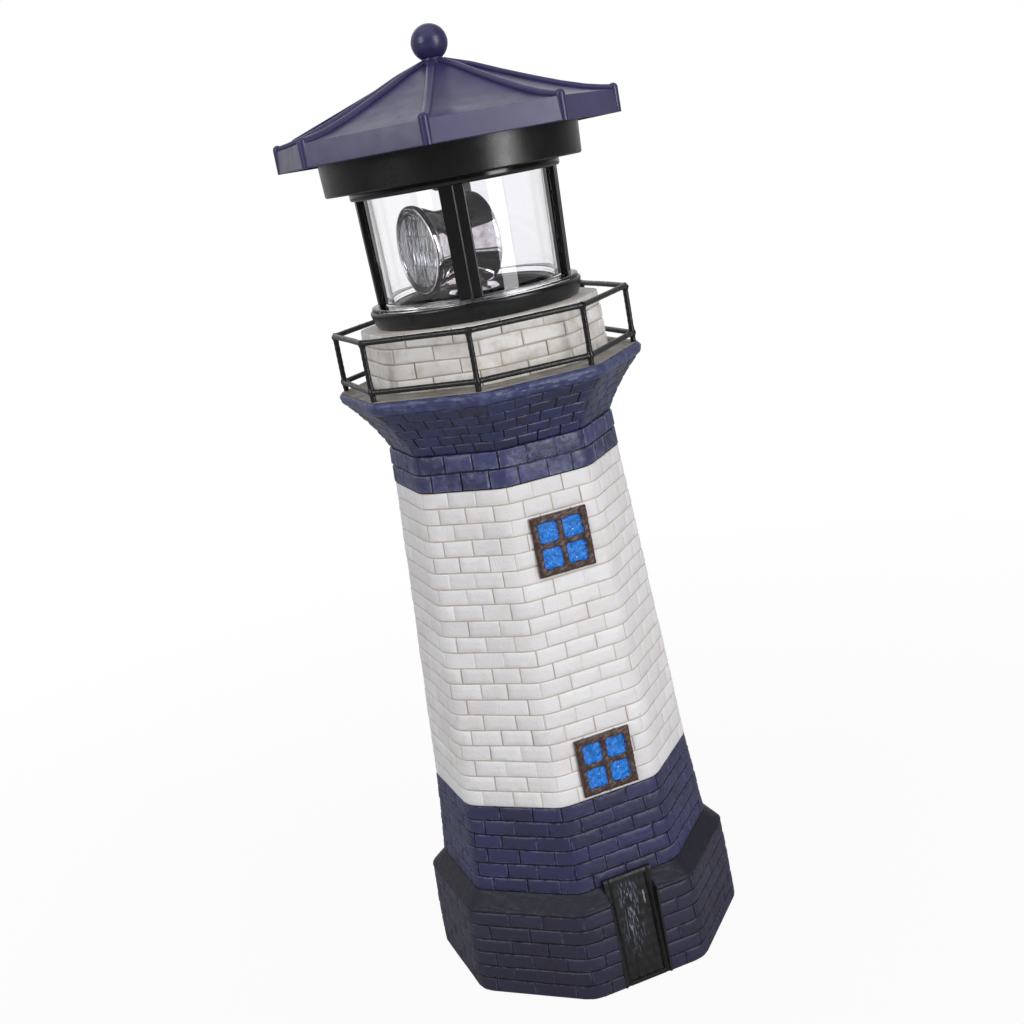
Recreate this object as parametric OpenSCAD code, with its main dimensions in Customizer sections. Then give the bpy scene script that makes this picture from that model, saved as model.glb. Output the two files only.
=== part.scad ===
// Solar garden lighthouse with a turning beacon. A hollow cast tower carries a
// railed gallery. A light unit plugs into its top: glazed lantern, octagonal
// solar roof, and a drive housing that hangs inside the tower.
// Millimetres, Z up, origin at the middle of the base, door towards -Y.
// Octagons are given by their corner radius and have flats on X and Y.

/* [Tower] */
// Corner radius of the plinth at the ground
plinth_foot_r = 50.8; // [49:0.2:56]
// Corner radius of the plinth at its ledge
plinth_top_r = 49.9; // [47:0.1:55]
// Height of the plinth up to its ledge
plinth_h = 28; // [20:0.5:40]
// Height of the sloping ledge above the plinth
ledge_h = 5.1; // [2:0.1:10]
// Corner radius at the foot of the shaft
shaft_foot_r = 45; // [43:0.1:46.5]
// Height of the lower blue band
foot_band_h = 28.3; // [15:0.1:40]
// Corner radius where the blue band ends
waist_r = 42.4; // [40:0.1:44]
// Height of the white band
white_band_h = 100.1; // [90:0.1:130]
// Corner radius at the top of the white band
white_top_r = 36.2; // [35:0.1:39]
// Height of the upper blue band
neck_band_h = 11.3; // [6:0.1:20]
// Corner radius of the neck under the corbel
neck_r = 35.6; // [34.5:0.1:38]
// Height of the corbel that carries the gallery
corbel_h = 15.2; // [10:0.1:25]
// Corner radius at the top of the corbel
corbel_r = 46.5; // [44:0.1:48]
// Thickness of the wall of the casting
wall = 4; // [2.5:0.1:4.5]

/* [Gallery] */
// Corner radius of the gallery floor
deck_r = 48.1; // [47:0.1:52]
// Thickness of the gallery floor
deck_t = 4.3; // [3:0.1:8]
// Corner radius of the drum that stands on the gallery
drum_r = 38.5; // [35:0.1:40]
// Height of the drum
drum_h = 17.7; // [12:0.1:25]
// Corner radius of the railing
rail_r = 45.5; // [43:0.1:46.5]
// Height of the top rail above the gallery floor
top_rail_h = 17.3; // [12:0.1:22]
// Height of the bottom rail above the gallery floor
bottom_rail_h = 2.8; // [2:0.1:6]
// Diameter of the railing wire
rail_wire_d = 1.6; // [1:0.1:2.2]
// Diameter of the weld beads at the rail joints
rail_bead_d = 2.6; // [2.4:0.1:3.6]
// Turn of the railing against the tower, as fitted
rail_turn = -1.7; // [-5:0.1:5]

/* [Openings in the wall] */
// Outer width and height of a window frame
window_w = 18.2; // [12:0.2:22]
// Sideways shift of the windows from the middle of the front face
window_shift = 0.7; // [-4:0.1:4]
// Width of the window frame's bars
window_bar = 1.9; // [1:0.1:3]
// How far the window frame stands out of the wall
window_relief = 1.3; // [0.6:0.1:2.5]
// Height of the upper window's sill above the lower blue band
upper_sill_h = 71.2; // [60:0.1:78]
// Height of the lower window's sill above the lower blue band
lower_sill_h = 1.2; // [0.5:0.1:30]
// Width of the doorway
door_w = 15.2; // [12:0.2:20]
// Height of the door above the ground
door_h = 35.4; // [30:0.2:38]
// Sideways shift of the door from the middle of the front face
door_shift = -0.6; // [-2:0.1:2]
// Depth of the doorway in the plinth at its foot
door_sink = 0.3; // [0.2:0.1:0.8]
// How far the door's head stands out of the shaft
door_relief = 1.6; // [1:0.1:2.4]

/* [Lantern] */
// Turn of the light unit in the tower's socket, as fitted
unit_turn = -2.5; // [-10:0.1:10]
// Outer radius of the base ring at its foot
ring_foot_r = 31.4; // [28:0.1:32.4]
// Outer radius of the base ring at its top
ring_top_r = 32.7; // [31:0.1:34]
// Height of the base ring
ring_h = 5.1; // [4.6:0.1:10]
// Radius of the round well in the base ring
well_r = 23.9; // [22.5:0.1:24.4]
// Outer radius of the drive housing that plugs into the tower
housing_r = 26; // [25.4:0.1:26.6]
// Wall of the drive housing
housing_wall = 1.8; // [1.4:0.1:2]
// Length of the drive housing below the base ring
housing_l = 76.5; // [74:0.5:90]
// Height of the clear pane between base ring and lip
pane_h = 33.1; // [31:0.1:45]
// Outer radius of the clear cylinder at its top
lens_top_r = 28.6; // [28:0.1:29.6]
// Outer radius of the clear cylinder at its foot
lens_foot_r = 27.5; // [26.5:0.1:28.2]
// Wall of the clear cylinder
lens_wall = 1.5; // [1:0.1:2]
// Width of each cage post
post_w = 6.8; // [4:0.1:9]
// Radial thickness of each cage post
post_t = 2.3; // [1.8:0.1:3]
// Direction of the front cage post in the light unit, from the door side
post_turn = -19.3; // [-45:0.1:45]
// Outer radius of the lip under the collar
lip_r = 32; // [31.6:0.1:37]
// Thickness of the lip
lip_t = 2.3; // [1.5:0.1:4]

/* [Roof] */
// Radius of the round collar at its foot
collar_foot_r = 39; // [38:0.1:41]
// Radius of the round collar at its top
collar_top_r = 39.4; // [38.4:0.1:42]
// Height of the collar
collar_h = 9.9; // [8:0.1:14]
// Corner radius of the eave
eave_r = 52.2; // [50.5:0.1:56]
// Height of the eave's upright edge
fascia_h = 6.8; // [5:0.1:10]
// Rise of the roof from the eave to the neck
roof_rise = 16.6; // [14:0.1:30]
// Thickness of the roof shell
roof_t = 2; // [1.4:0.1:2.6]
// Width of the raised rib along each corner of the roof
rib_w = 3; // [2:0.1:5]
// How far a rib stands above the facets
rib_relief = 0.6; // [0.4:0.1:2]
// Radius of the neck under the ball
neck_top_r = 3.3; // [2.6:0.1:4]
// Radius of the ball on the roof
ball_r = 5.45; // [4.5:0.05:8]
// Number of solar panels, on the facets at the back
panel_count = 3; // [1:2:5]
// Thickness of a solar panel
panel_t = 1.2; // [0.8:0.1:2]

/* [Beacon] */
// Direction of the beam at rest, from the door side
beacon_turn = -81; // [-180:1:180]
// Height of the beam above the base ring
beam_h = 14.8; // [14.4:0.1:16.6]
// Radius of the lamp's lens rims
rim_r = 13.2; // [11.5:0.1:13.4]
// Radius of the lamp's barrel between the rims
barrel_r = 10.6; // [9.6:0.1:11]
// Length of the lamp's barrel from rim to rim
barrel_l = 22; // [20:0.2:24]
// Forward shift of the barrel from the spindle
barrel_shift = 6; // [4:0.1:6.5]
// Radius of the turntable that carries the barrel
turntable_r = 7.9; // [6.5:0.1:9]
// Radius of the spindle
spindle_r = 1.5; // [1.3:0.05:1.6]

/* [Drive] */
// Gear module
gear_module = 0.5; // [0.48:0.01:0.5]
// Teeth on the output gear and on the idler's wheel
wheel_teeth = 40; // [40:1:40]
// Teeth on the motor's pinion and on the idler's pinion
pinion_teeth = 10; // [10:1:10]
// Face width of each gear
gear_w = 2.4; // [1.6:0.1:2.6]
// Radius of the motor
motor_r = 7.5; // [6:0.1:7.6]
// Length of the motor
motor_l = 14; // [10:0.5:20]
// Radius of the battery cell
battery_r = 7.15; // [5.2:0.05:7.2]
// Length of the battery cell
battery_l = 50; // [42:0.5:50.5]
// Travel of the power switch
switch_travel = 2; // [1:0.1:2.5]

/* [Fits] */
// Clearance between the light unit and the tower
seat_gap = 0.3; // [0.2:0.05:0.5]
// Radial clearance of a shaft in its bearing
shaft_gap = 0.05; // [0.02:0.01:0.08]
// Gap between moving faces
run_gap = 0.5; // [0.4:0.05:0.7]
// Radius of a self-tapping screw's shank
screw_r = 1; // [0.8:0.05:1.1]
// How far a self-tapping screw reaches into its post
screw_l = 5.5; // [4:0.1:6]

/* [Hidden] */
$fn = 64;

// Half the angle of one side of an octagon
half_side = 22.5;
function flat_of(corner_r) = corner_r * cos(half_side);
function corner_of(flat_r) = flat_r / cos(half_side);

// Heights of the tower, from the ground up
shaft_foot_z = plinth_h + ledge_h;
waist_z = shaft_foot_z + foot_band_h;
white_top_z = waist_z + white_band_h;
corbel_foot_z = white_top_z + neck_band_h;
deck_under_z = corbel_foot_z + corbel_h;
deck_z = deck_under_z + deck_t;
drum_top_z = deck_z + drum_h;

// Heights of the light unit
ring_foot_z = drum_top_z + seat_gap;
ring_top_z = ring_foot_z + ring_h;
lip_under_z = ring_top_z + pane_h;
ceiling_z = lip_under_z + lip_t;
floor_t = 2;
collar_floor_z = ceiling_z + floor_t;
eave_plate_z = ceiling_z + collar_h;
eave_recess = 0.5;
fascia_z = eave_plate_z - eave_recess;
eave_top_z = fascia_z + fascia_h;
roof_top_z = eave_top_z + roof_rise;
ball_z = roof_top_z + ball_r + 0.3;
housing_foot_z = ring_foot_z - housing_l;
housing_in_r = housing_r - housing_wall;
well_floor_z = ring_foot_z - 2.5;
well_under_z = well_floor_z - floor_t;

// Beacon
beam_z = ring_top_z + beam_h;
half_barrel = barrel_l / 2;
lens_t = 2.4;
lens_seat_l = lens_t + 0.8;
rim_l = lens_seat_l + 0.6;
rim_taper = 1.8;
barrel_bore_r = barrel_r - 1;
lens_seat_r = rim_r - 1;
board_t = 1.2;
turntable_top_z = beam_z - rim_r - 0.7;
led_r = 2.5;

// Gears: output wheel over idler pinion, idler wheel over motor pinion
gear_gap = 0.6;
upper_gear_z = well_under_z - gear_gap - gear_w;
lower_gear_z = upper_gear_z - gear_gap - gear_w;
plate_t = 1.8;
plate_z = lower_gear_z - gear_gap - plate_t;
gear_centres = gear_module * (wheel_teeth + pinion_teeth) / 2;
idler_dir = -90;
idler_x = gear_centres * cos(idler_dir);
idler_y = gear_centres * sin(idler_dir);
motor_dir = 10;
motor_x = idler_x + gear_centres * cos(motor_dir);
motor_y = idler_y + gear_centres * sin(motor_dir);
axle_r = 0.8;
plate_post_r = 2.2;
plate_post_ring = 19.5;
plate_post_dirs = [-142, 20, 130];
slip_ring_r = 2.6;
slip_ring_w = 1.6;
spindle_foot_z = plate_z - 6;

// Battery, board and switch inside the housing
battery_x = -12.6;
battery_y = -4.4;
cover_t = 2;
cover_z = housing_foot_z;
cover_in_z = cover_z + cover_t;
holder_wall = 1.1;
battery_foot_z = cover_in_z + holder_wall + 4.2;
battery_top_z = battery_foot_z + battery_l;
board_w = 27;
board_h = 34;
board_y = 12;
board_z = cover_in_z + 8;
cover_post_r = 2.3;
cover_post_ring = housing_in_r - cover_post_r + 0.6;
cover_post_dirs = [-90, 30, 150];
cover_post_l = 8;
switch_x = 11;
switch_y = -3;
switch_w = 8.6;
switch_d = 4.4;
knob_w = 2.4;
knob_d = 2.2;

// Roof: screws under the ceiling and ribs along the corners
roof_post_ring = 14.9;
roof_post_dirs = [-127.5, -7.5, 112.5];
roof_post_r = 2.8;
lip_screw_ring = (lens_top_r + lip_r) / 2;
facet_slope = atan(roof_rise / (flat_of(eave_r) - neck_top_r));
lead_r = 0.4;
lead_pitch = 0.55;
lead_gap = 0.15;
duct_w = 2.6;

// ---------------------------------------------------------------- helpers

// Octagonal solid of revolution: profile points are [corner radius, z]
module octagonal(profile) {
  rotate([0, 0, half_side]) rotate_extrude($fn = 8) polygon(profile);
}

// Round solid of revolution
module turned(profile, turn = 360) {
  rotate([0, 0, -turn / 2]) rotate_extrude(angle = turn) polygon(profile);
}

// Upright rod
module rod(r, z_low, z_high) {
  translate([0, 0, z_low]) cylinder(h = z_high - z_low, r = r);
}

module at_polar(ring_r, dir) {
  translate([ring_r * cos(dir), ring_r * sin(dir), 0]) children();
}

// Everything that belongs to the light unit turns with it
module in_unit() {
  rotate([0, 0, unit_turn]) children();
}

// Beacon frame: X is the beam, origin on the spindle at beam height
module in_beacon() {
  rotate([0, 0, beacon_turn - 90]) translate([0, 0, beam_z]) children();
}

// Solid turned about the beam, centred on the barrel
module about_beam(profile) {
  in_beacon() translate([barrel_shift, 0, 0]) rotate([0, 90, 0]) turned(profile);
}

function unit_vector(v) = v / norm(v);
function bezier(a, b, c, d, n = 10) =
  [for (i = [0:n]) let (t = i / n) pow(1 - t, 3) * a + 3 * t * pow(1 - t, 2) * b + 3 * t * t * (1 - t) * c + pow(t, 3) * d];
function tangent(p, i) = unit_vector(p[min(i + 1, len(p) - 1)] - p[max(i - 1, 0)]);
lead_sides = 8;
// A lead follows its points; side_way is never along it
module lead(p, side_way) {
  rings = [for (i = [0:len(p) - 1]) let (t = tangent(p, i), u = unit_vector(cross(side_way, t)), v = cross(t, u))
    each [for (k = [0:lead_sides - 1]) p[i] + lead_r * (cos(360 * k / lead_sides) * u + sin(360 * k / lead_sides) * v)]];
  last = (len(p) - 1) * lead_sides;
  sides = [for (i = [0:len(p) - 2], k = [0:lead_sides - 1]) let (j = (k + 1) % lead_sides, a = i * lead_sides)
    [a + k, a + lead_sides + k, a + lead_sides + j, a + j]];
  polyhedron(points = rings,
    faces = concat(sides, [[for (k = [0:lead_sides - 1]) k]],
      [[for (k = [0:lead_sides - 1]) last + lead_sides - 1 - k]]));
}

// ---------------------------------------------------------------- tower

tower_profile = [[plinth_foot_r, 0], [plinth_top_r, plinth_h], [shaft_foot_r, shaft_foot_z],
  [waist_r, waist_z], [white_top_r, white_top_z], [neck_r, corbel_foot_z],
  [corbel_r, deck_under_z], [deck_r, deck_under_z + 0.8], [deck_r, deck_z]];
drum_profile = [[0, deck_z], [drum_r, deck_z], [drum_r - 0.4, drum_top_z], [0, drum_top_z]];
wall_in = corner_of(wall);
cavity_profile = [[0, -1], [plinth_foot_r - wall_in, -1], [plinth_top_r - wall_in, plinth_h - wall / 2],
  [shaft_foot_r - wall_in, shaft_foot_z], [waist_r - wall_in, waist_z],
  [white_top_r - wall_in, white_top_z], [neck_r - wall_in, corbel_foot_z],
  [neck_r - wall_in, deck_under_z], [0, deck_under_z]];

function lerp_r(z, z1, r1, z2, r2) = r1 + (r2 - r1) * (z - z1) / (z2 - z1);
function white_r(z) = lerp_r(z, waist_z, waist_r, white_top_z, white_top_r);
white_lean = atan(flat_of(waist_r - white_top_r) / white_band_h);
window_sink = 1;

// Window frame with four panes, on the front face with its sill at height z
module window(z) {
  translate([0, -flat_of(white_r(z)), z]) rotate([-white_lean, 0, 0])
    translate([window_shift - window_w / 2, -window_relief, 0]) {
      color("#3c302d") difference() {
        cube([window_w, window_relief + window_sink, window_w]);
        translate([window_bar, -1, window_bar])
          cube([window_w - 2 * window_bar, window_relief + 0.6, window_w - 2 * window_bar]);
      }
      color("#3c302d") for (side = [0, 1])
        translate(side == 0 ? [(window_w - 0.8) / 2, window_relief / 2, window_bar / 2]
                            : [window_bar / 2, window_relief / 2, (window_w - 0.8) / 2])
          cube([side == 0 ? 0.8 : window_w - window_bar, window_relief / 2 + window_sink,
                side == 0 ? window_w - window_bar : 0.8]);
      color("#2f7fd8") translate([window_bar / 2, window_relief - 0.4, window_bar / 2])
        cube([window_w - window_bar, 0.4 + window_sink, window_w - window_bar]);
    }
}

door_foot_y = -flat_of(plinth_foot_r) + door_sink;
door_head_y = -flat_of(shaft_foot_r) - door_relief;
function door_y(z) = door_foot_y + (door_head_y - door_foot_y) * z / door_h;

// Prism from a [y, z] outline, as wide as given, in the middle of the door
module across_door(width, outline) {
  translate([door_shift - width / 2, 0, 0]) rotate([90, 0, 90]) linear_extrude(width) polygon(outline);
}

// All that lies before the door's face, sunk by depth, between two heights
module before_door(width, depth, z_low, z_high) {
  across_door(width, [[-plinth_foot_r - 1, z_low], [door_y(z_low) + depth, z_low],
    [door_y(z_high) + depth, z_high], [-plinth_foot_r - 1, z_high]]);
}

// Leaning door with a sunk panel
module door() {
  door_t = 2.6;
  frame_w = 1.5;
  panel_sink = 0.5;
  color("#1c1b1d") difference() {
    across_door(door_w + 0.02, [[door_foot_y, 0], [door_foot_y + door_t, 0], [door_head_y + door_t, door_h], [door_head_y, door_h]]);
    before_door(door_w - 2 * frame_w, panel_sink, frame_w, door_h - frame_w);
  }
}

module tower() {
  color("#e2dfdc") difference() {
    union() {
      difference() {
        octagonal(concat([[0, 0]], tower_profile, [[0, deck_z]]));
        before_door(door_w, 0, -1, door_h);
      }
      octagonal(drum_profile);
      window(waist_z + upper_sill_h);
      window(waist_z + lower_sill_h);
      door();
    }
    octagonal(cavity_profile);
    rod(housing_r + seat_gap, deck_under_z - 1, drum_top_z + 1);
  }
}

// ---------------------------------------------------------------- railing

function rail_corner(k, z) = [rail_r * cos(half_side + 45 * k), rail_r * sin(half_side + 45 * k), z];

module rail_beads(z) {
  for (k = [0:7]) translate(rail_corner(k, z)) sphere(d = rail_bead_d, $fn = 24);
}

// Eight wires from bead to bead
module rail(z) {
  side = 2 * rail_r * sin(half_side);
  color("#141416") rotate([0, 0, rail_turn]) difference() {
    for (k = [0:7]) translate(rail_corner(k, z)) rotate([0, 0, 45 * k + 45])
      rotate([-90, 0, 0]) translate([0, 0, rail_bead_d / 4])
        cylinder(h = side - rail_bead_d / 2, d = rail_wire_d, $fn = 24);
    rail_beads(z);
  }
}

module top_rail() {
  rail(deck_z + top_rail_h);
}

module bottom_rail() {
  rail(deck_z + bottom_rail_h);
}

module rail_posts() {
  color("#141416") rotate([0, 0, rail_turn]) {
    for (k = [0:7]) translate(rail_corner(k, deck_z)) cylinder(h = top_rail_h, d = rail_wire_d, $fn = 24);
    rail_beads(deck_z + top_rail_h);
    rail_beads(deck_z + bottom_rail_h);
  }
}

// ---------------------------------------------------------------- lantern

function lens_r(z) = lerp_r(z, ring_top_z, lens_foot_r, ceiling_z, lens_top_r);
duct_low_r = lens_foot_r + post_t / 2;
duct_high_r = lens_top_r + post_t / 2;
duct_foot_z = ring_top_z + 0.2;
duct_knee_r = (well_r + housing_r) / 2;
duct_knee_z = ring_foot_z + 0.9;
duct_exit_z = plate_z + 2;
duct_exit_r = housing_in_r - 1;

// Pair of holes side by side, from [radius, z] low to [radius, z] high
module lead_hole_pair(low, high) {
  run = high - low;
  for (side = [-1, 1]) translate([low[0], lead_pitch * side, low[1]])
    rotate([0, atan(run[0] / run[1]), 0]) cylinder(h = norm(run), r = lead_r + 0.2, $fn = 24);
}

// Way for the panel leads from the front post through the ring into the housing
module lead_way() {
  foot = [duct_low_r, duct_foot_z];
  knee = [duct_knee_r, duct_knee_z];
  exit = [duct_exit_r, duct_exit_z];
  rotate([0, 0, post_turn - 90]) {
    lead_hole_pair(knee, foot + 0.2 * (foot - knee));
    lead_hole_pair(exit, knee + 0.02 * (knee - exit));
  }
}

module lantern_base() {
  color("#121214") in_unit() difference() {
    union() {
      turned([[spindle_r + 2.5, well_under_z], [housing_in_r, well_under_z], [housing_in_r, housing_foot_z + cover_t],
        [housing_r, housing_foot_z + cover_t], [housing_r, ring_foot_z], [ring_foot_r, ring_foot_z],
        [ring_top_r, ring_top_z - 0.8], [ring_top_r - 0.6, ring_top_z], [well_r, ring_top_z],
        [well_r, well_floor_z], [spindle_r + 2.5, well_floor_z]]);
      for (dir = plate_post_dirs) at_polar(plate_post_ring, dir)
        rod(plate_post_r, plate_z + plate_t, well_under_z + 0.5);
      for (dir = cover_post_dirs) at_polar(cover_post_ring, dir) rod(cover_post_r, cover_in_z, cover_in_z + cover_post_l);
    }
    for (dir = plate_post_dirs) at_polar(plate_post_ring, dir)
      rod(screw_r + 0.02, plate_z, plate_z + plate_t + screw_l + 0.5);
    for (dir = cover_post_dirs) at_polar(cover_post_ring, dir)
      rod(screw_r + 0.02, cover_in_z - 1, cover_in_z + screw_l + 0.5);
    lead_way();
  }
}

// Section of a cage post, standing outside the clear cylinder
cage_gap = 0.1;
post_profile = [[lens_foot_r + cage_gap, ring_top_z], [lens_foot_r + cage_gap + post_t, ring_top_z],
  [lens_r(lip_under_z) + cage_gap + post_t, lip_under_z + 0.1], [lens_r(lip_under_z) + cage_gap, lip_under_z + 0.1]];
post_turn_width = post_w / (lens_foot_r + post_t) * 180 / PI;
duct_turn_width = duct_w / duct_low_r * 180 / PI;

module at_posts() {
  for (k = [0:3]) rotate([0, 0, post_turn - 90 + 90 * k]) children();
}

module lantern_cage() {
  color("#101012") in_unit() difference() {
    union() {
      turned([[lens_top_r + cage_gap, lip_under_z], [lip_r - 0.5, lip_under_z], [lip_r, lip_under_z + 0.6],
        [lip_r, ceiling_z], [lens_top_r + cage_gap, ceiling_z]]);
      at_posts() turned(post_profile, post_turn_width);
    }
    rotate([0, 0, post_turn - 90])
      turned([[lens_foot_r - 1, ring_top_z - 1], [lens_foot_r + post_t * 0.7, ring_top_z - 1],
        [lens_top_r + post_t * 0.7, ceiling_z + 1], [lens_top_r - 1, ceiling_z + 1]], duct_turn_width);
    at_posts() rotate([0, 0, 45]) at_polar(lip_screw_ring, 0) rod(screw_r + 0.02, lip_under_z + 0.4, ceiling_z + 1);
  }
}

module lens_cylinder() {
  foot_h = 1.2;
  foot_r = ring_top_r - 0.8;
  color("#dfeaf0", 0.35) in_unit() difference() {
    union() {
      turned([[lens_foot_r - lens_wall, ring_top_z], [lens_foot_r, ring_top_z], [lens_top_r, ceiling_z],
        [lens_top_r - lens_wall, ceiling_z]]);
      turned([[lens_foot_r - lens_wall, ring_top_z], [foot_r, ring_top_z],
        [foot_r, ring_top_z + foot_h - 0.3], [foot_r - 0.3, ring_top_z + foot_h],
        [lens_foot_r - lens_wall / 2, ring_top_z + foot_h]]);
    }
    at_posts() turned([[lens_foot_r + cage_gap / 2, ring_top_z - 1], [lens_top_r + 4, ring_top_z - 1],
      [lens_top_r + 4, ring_top_z + 2], [lens_r(ring_top_z + 2) + cage_gap / 2, ring_top_z + 2]], post_turn_width + 1);
  }
}

module spindle_bush() {
  color("#b5893a") in_unit() turned([[spindle_r + shaft_gap, well_under_z - 0.3], [spindle_r + 2.48, well_under_z - 0.3],
    [spindle_r + 2.48, well_floor_z], [spindle_r + 3.6, well_floor_z], [spindle_r + 3.6, well_floor_z + 0.6],
    [spindle_r + shaft_gap, well_floor_z + 0.6]]);
}

// ---------------------------------------------------------------- roof

// Height of the roof's corner line at corner radius r
function roof_z(r) = lerp_r(r, eave_r, eave_top_z, neck_top_r, roof_top_z);
function outside_roof() = [[0, fascia_z], [eave_r, fascia_z], [eave_r - 0.5, eave_top_z],
  [neck_top_r, roof_top_z], [0, roof_top_z]];
inside_top_z = eave_top_z - roof_t * 0.6;
function inside_roof() = [[0, fascia_z - 1], [eave_r - corner_of(roof_t), fascia_z - 1],
  [eave_r - corner_of(roof_t), inside_top_z],
  [neck_top_r, inside_top_z + roof_rise - roof_t * 0.5], [0, inside_top_z + roof_rise - roof_t * 0.5]];
rib_slope = atan(roof_rise / (eave_r - neck_top_r));
peg_r = 1.8;
peg_l = 2.4;

module roof_rib() {
  rib_l = norm([eave_r - neck_top_r, roof_rise]) - 1.5;
  translate([eave_r - 0.7, 0, eave_top_z]) rotate([0, rib_slope, 0])
    translate([-rib_l, -rib_w / 2, -0.6]) cube([rib_l, rib_w, rib_relief + 0.6]);
  translate([eave_r - 2.6, -rib_w / 2, fascia_z]) cube([2.6, rib_w, fascia_h + 0.3]);
}

module roof_shell() {
  color("#4a4570") in_unit() difference() {
    union() {
      difference() {
        octagonal(outside_roof());
        octagonal(inside_roof());
      }
      difference() {
        for (k = [0:7]) rotate([0, 0, half_side + 45 * k]) roof_rib();
        rod(neck_top_r + 0.4, roof_top_z - 4, roof_top_z + 4);
        octagonal(inside_roof());
      }
      for (dir = roof_post_dirs) at_polar(roof_post_ring, dir)
        rod(roof_post_r, collar_floor_z, roof_z(roof_post_ring + roof_post_r) - 1);
    }
    for (dir = roof_post_dirs) at_polar(roof_post_ring, dir) rod(screw_r + 0.02, collar_floor_z - 1, collar_floor_z + screw_l + 0.5);
    rod(peg_r + 0.02, roof_top_z - peg_l - 0.1, roof_top_z + 1);
    lead_hole();
  }
}

module ball_finial() {
  color("#4a4570") in_unit() {
    translate([0, 0, ball_z]) sphere(r = ball_r);
    rod(neck_top_r - 0.4, roof_top_z, ball_z - ball_r / 2);
    rod(peg_r, roof_top_z - peg_l, roof_top_z + 0.5);
  }
}

// Solar panels: trapezoids lying on the facets around the back one
panel_low_flat = flat_of(eave_r) - 4.5;
panel_high_flat = 12;
panel_edge = rib_w / 2 + 0.9;
panel_lift = 0.02;
panel_l = (panel_low_flat - panel_high_flat) / cos(facet_slope);
function panel_half(flat_r) = flat_r * tan(half_side) - panel_edge;
function facet_z(flat_r) = lerp_r(flat_r, flat_of(eave_r - 0.5), eave_top_z, flat_of(neck_top_r), roof_top_z);
facet_lean = atan((roof_top_z - eave_top_z) / (flat_of(eave_r - 0.5) - flat_of(neck_top_r)));

module on_facet(k) {
  rotate([0, 0, 180 + 45 * k]) translate([0, -panel_low_flat, facet_z(panel_low_flat) + panel_lift])
    rotate([facet_lean, 0, 0]) children();
}

module solar_panels() {
  last = (panel_count - 1) / 2;
  color("#1c2238") in_unit() for (k = [-last:last]) on_facet(k)
    linear_extrude(height = panel_t)
      polygon([[-panel_half(panel_low_flat), 0], [panel_half(panel_low_flat), 0],
        [panel_half(panel_high_flat), panel_l], [-panel_half(panel_high_flat), panel_l]]);
}

// Way through the roof under the middle panel for its leads
lead_hole_r = 1.6;
lead_hole_y = panel_low_flat - 7.4;
module lead_hole() {
  translate([0, lead_hole_y, facet_z(lead_hole_y) - roof_t - 3]) cylinder(h = roof_t + 6, r = lead_hole_r, $fn = 24);
}

module collar_housing() {
  spigot_r = lens_top_r - lens_wall - 0.2;
  plate_corner_r = eave_r - corner_of(roof_t) - 0.2;
  color("#101012") in_unit() difference() {
    union() {
      turned([[0, ceiling_z], [collar_foot_r - 0.4, ceiling_z], [collar_foot_r, ceiling_z + 0.4],
        [collar_top_r, eave_plate_z], [collar_top_r, eave_plate_z + floor_t / 2],
        [collar_top_r - 2, eave_plate_z + floor_t / 2], [collar_foot_r - 2, collar_floor_z], [0, collar_floor_z]]);
      rod(spigot_r, lip_under_z + 0.3, ceiling_z + 0.5);
      difference() {
        octagonal([[0, eave_plate_z], [plate_corner_r, eave_plate_z], [plate_corner_r, eave_plate_z + floor_t],
          [0, eave_plate_z + floor_t]]);
        rod(collar_top_r - 2, eave_plate_z - 1, eave_plate_z + floor_t + 1);
      }
    }
    for (dir = roof_post_dirs) at_polar(roof_post_ring, dir) rod(screw_r + 0.1, lip_under_z - 1, collar_floor_z + 1);
    at_posts() rotate([0, 0, 45]) at_polar(lip_screw_ring, 0) rod(screw_r + 0.1, lip_under_z, collar_floor_z + 1);
    rotate([0, 0, post_turn - 90]) at_polar(duct_high_r, 0) rod(duct_w / 2, lip_under_z, collar_floor_z + 1);
  }
}

dome_r = 2.1;
dome_h = 2.2;

// Domed screws under the ceiling, up into the roof's posts
module roof_screws() {
  head_z = lip_under_z + 0.3;
  color("#1a1a1c") in_unit() for (dir = roof_post_dirs) at_polar(roof_post_ring, dir) {
    rod(screw_r, head_z - 0.3, collar_floor_z + screw_l);
    translate([0, 0, head_z]) intersection() {
      sphere(r = dome_h);
      rod(dome_r, -dome_h - 1, 0);
    }
  }
}

module lip_screws() {
  color("#8d9096") in_unit() at_posts() rotate([0, 0, 45]) at_polar(lip_screw_ring, 0) {
    rod(screw_r, lip_under_z + 0.5, collar_floor_z);
    rod(2 * screw_r, collar_floor_z, collar_floor_z + 1.2 * screw_r);
  }
}

// ---------------------------------------------------------------- beacon

module beacon_spindle() {
  color("#c8ccd0") rotate([0, 0, unit_turn]) {
    rod(spindle_r, spindle_foot_z, turntable_top_z - 2);
  }
}

module turntable() {
  saddle_w = 9;
  saddle_x = barrel_shift - half_barrel + rim_l + rim_taper + 0.2;
  color("#9aa0a6") in_beacon() difference() {
    union() {
      translate([0, 0, -beam_z]) {
        turned([[spindle_r + 0.02, well_floor_z + 0.6 + run_gap], [turntable_r - 0.6, well_floor_z + 0.6 + run_gap],
          [turntable_r, well_floor_z + 1.2 + run_gap], [turntable_r, turntable_top_z - 0.8],
          [turntable_r - 0.8, turntable_top_z], [0, turntable_top_z], [0, turntable_top_z - 1.98],
          [spindle_r + 0.02, turntable_top_z - 1.98]]);
      }
      translate([saddle_x, -saddle_w / 2, turntable_top_z - beam_z - 0.5])
        cube([turntable_r - saddle_x - 1.8, saddle_w, rim_r - barrel_r + 4]);
    }
    translate([barrel_shift - half_barrel, 0, 0]) rotate([0, 90, 0]) cylinder(h = barrel_l, r = barrel_r + 0.02);
  }
}

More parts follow.
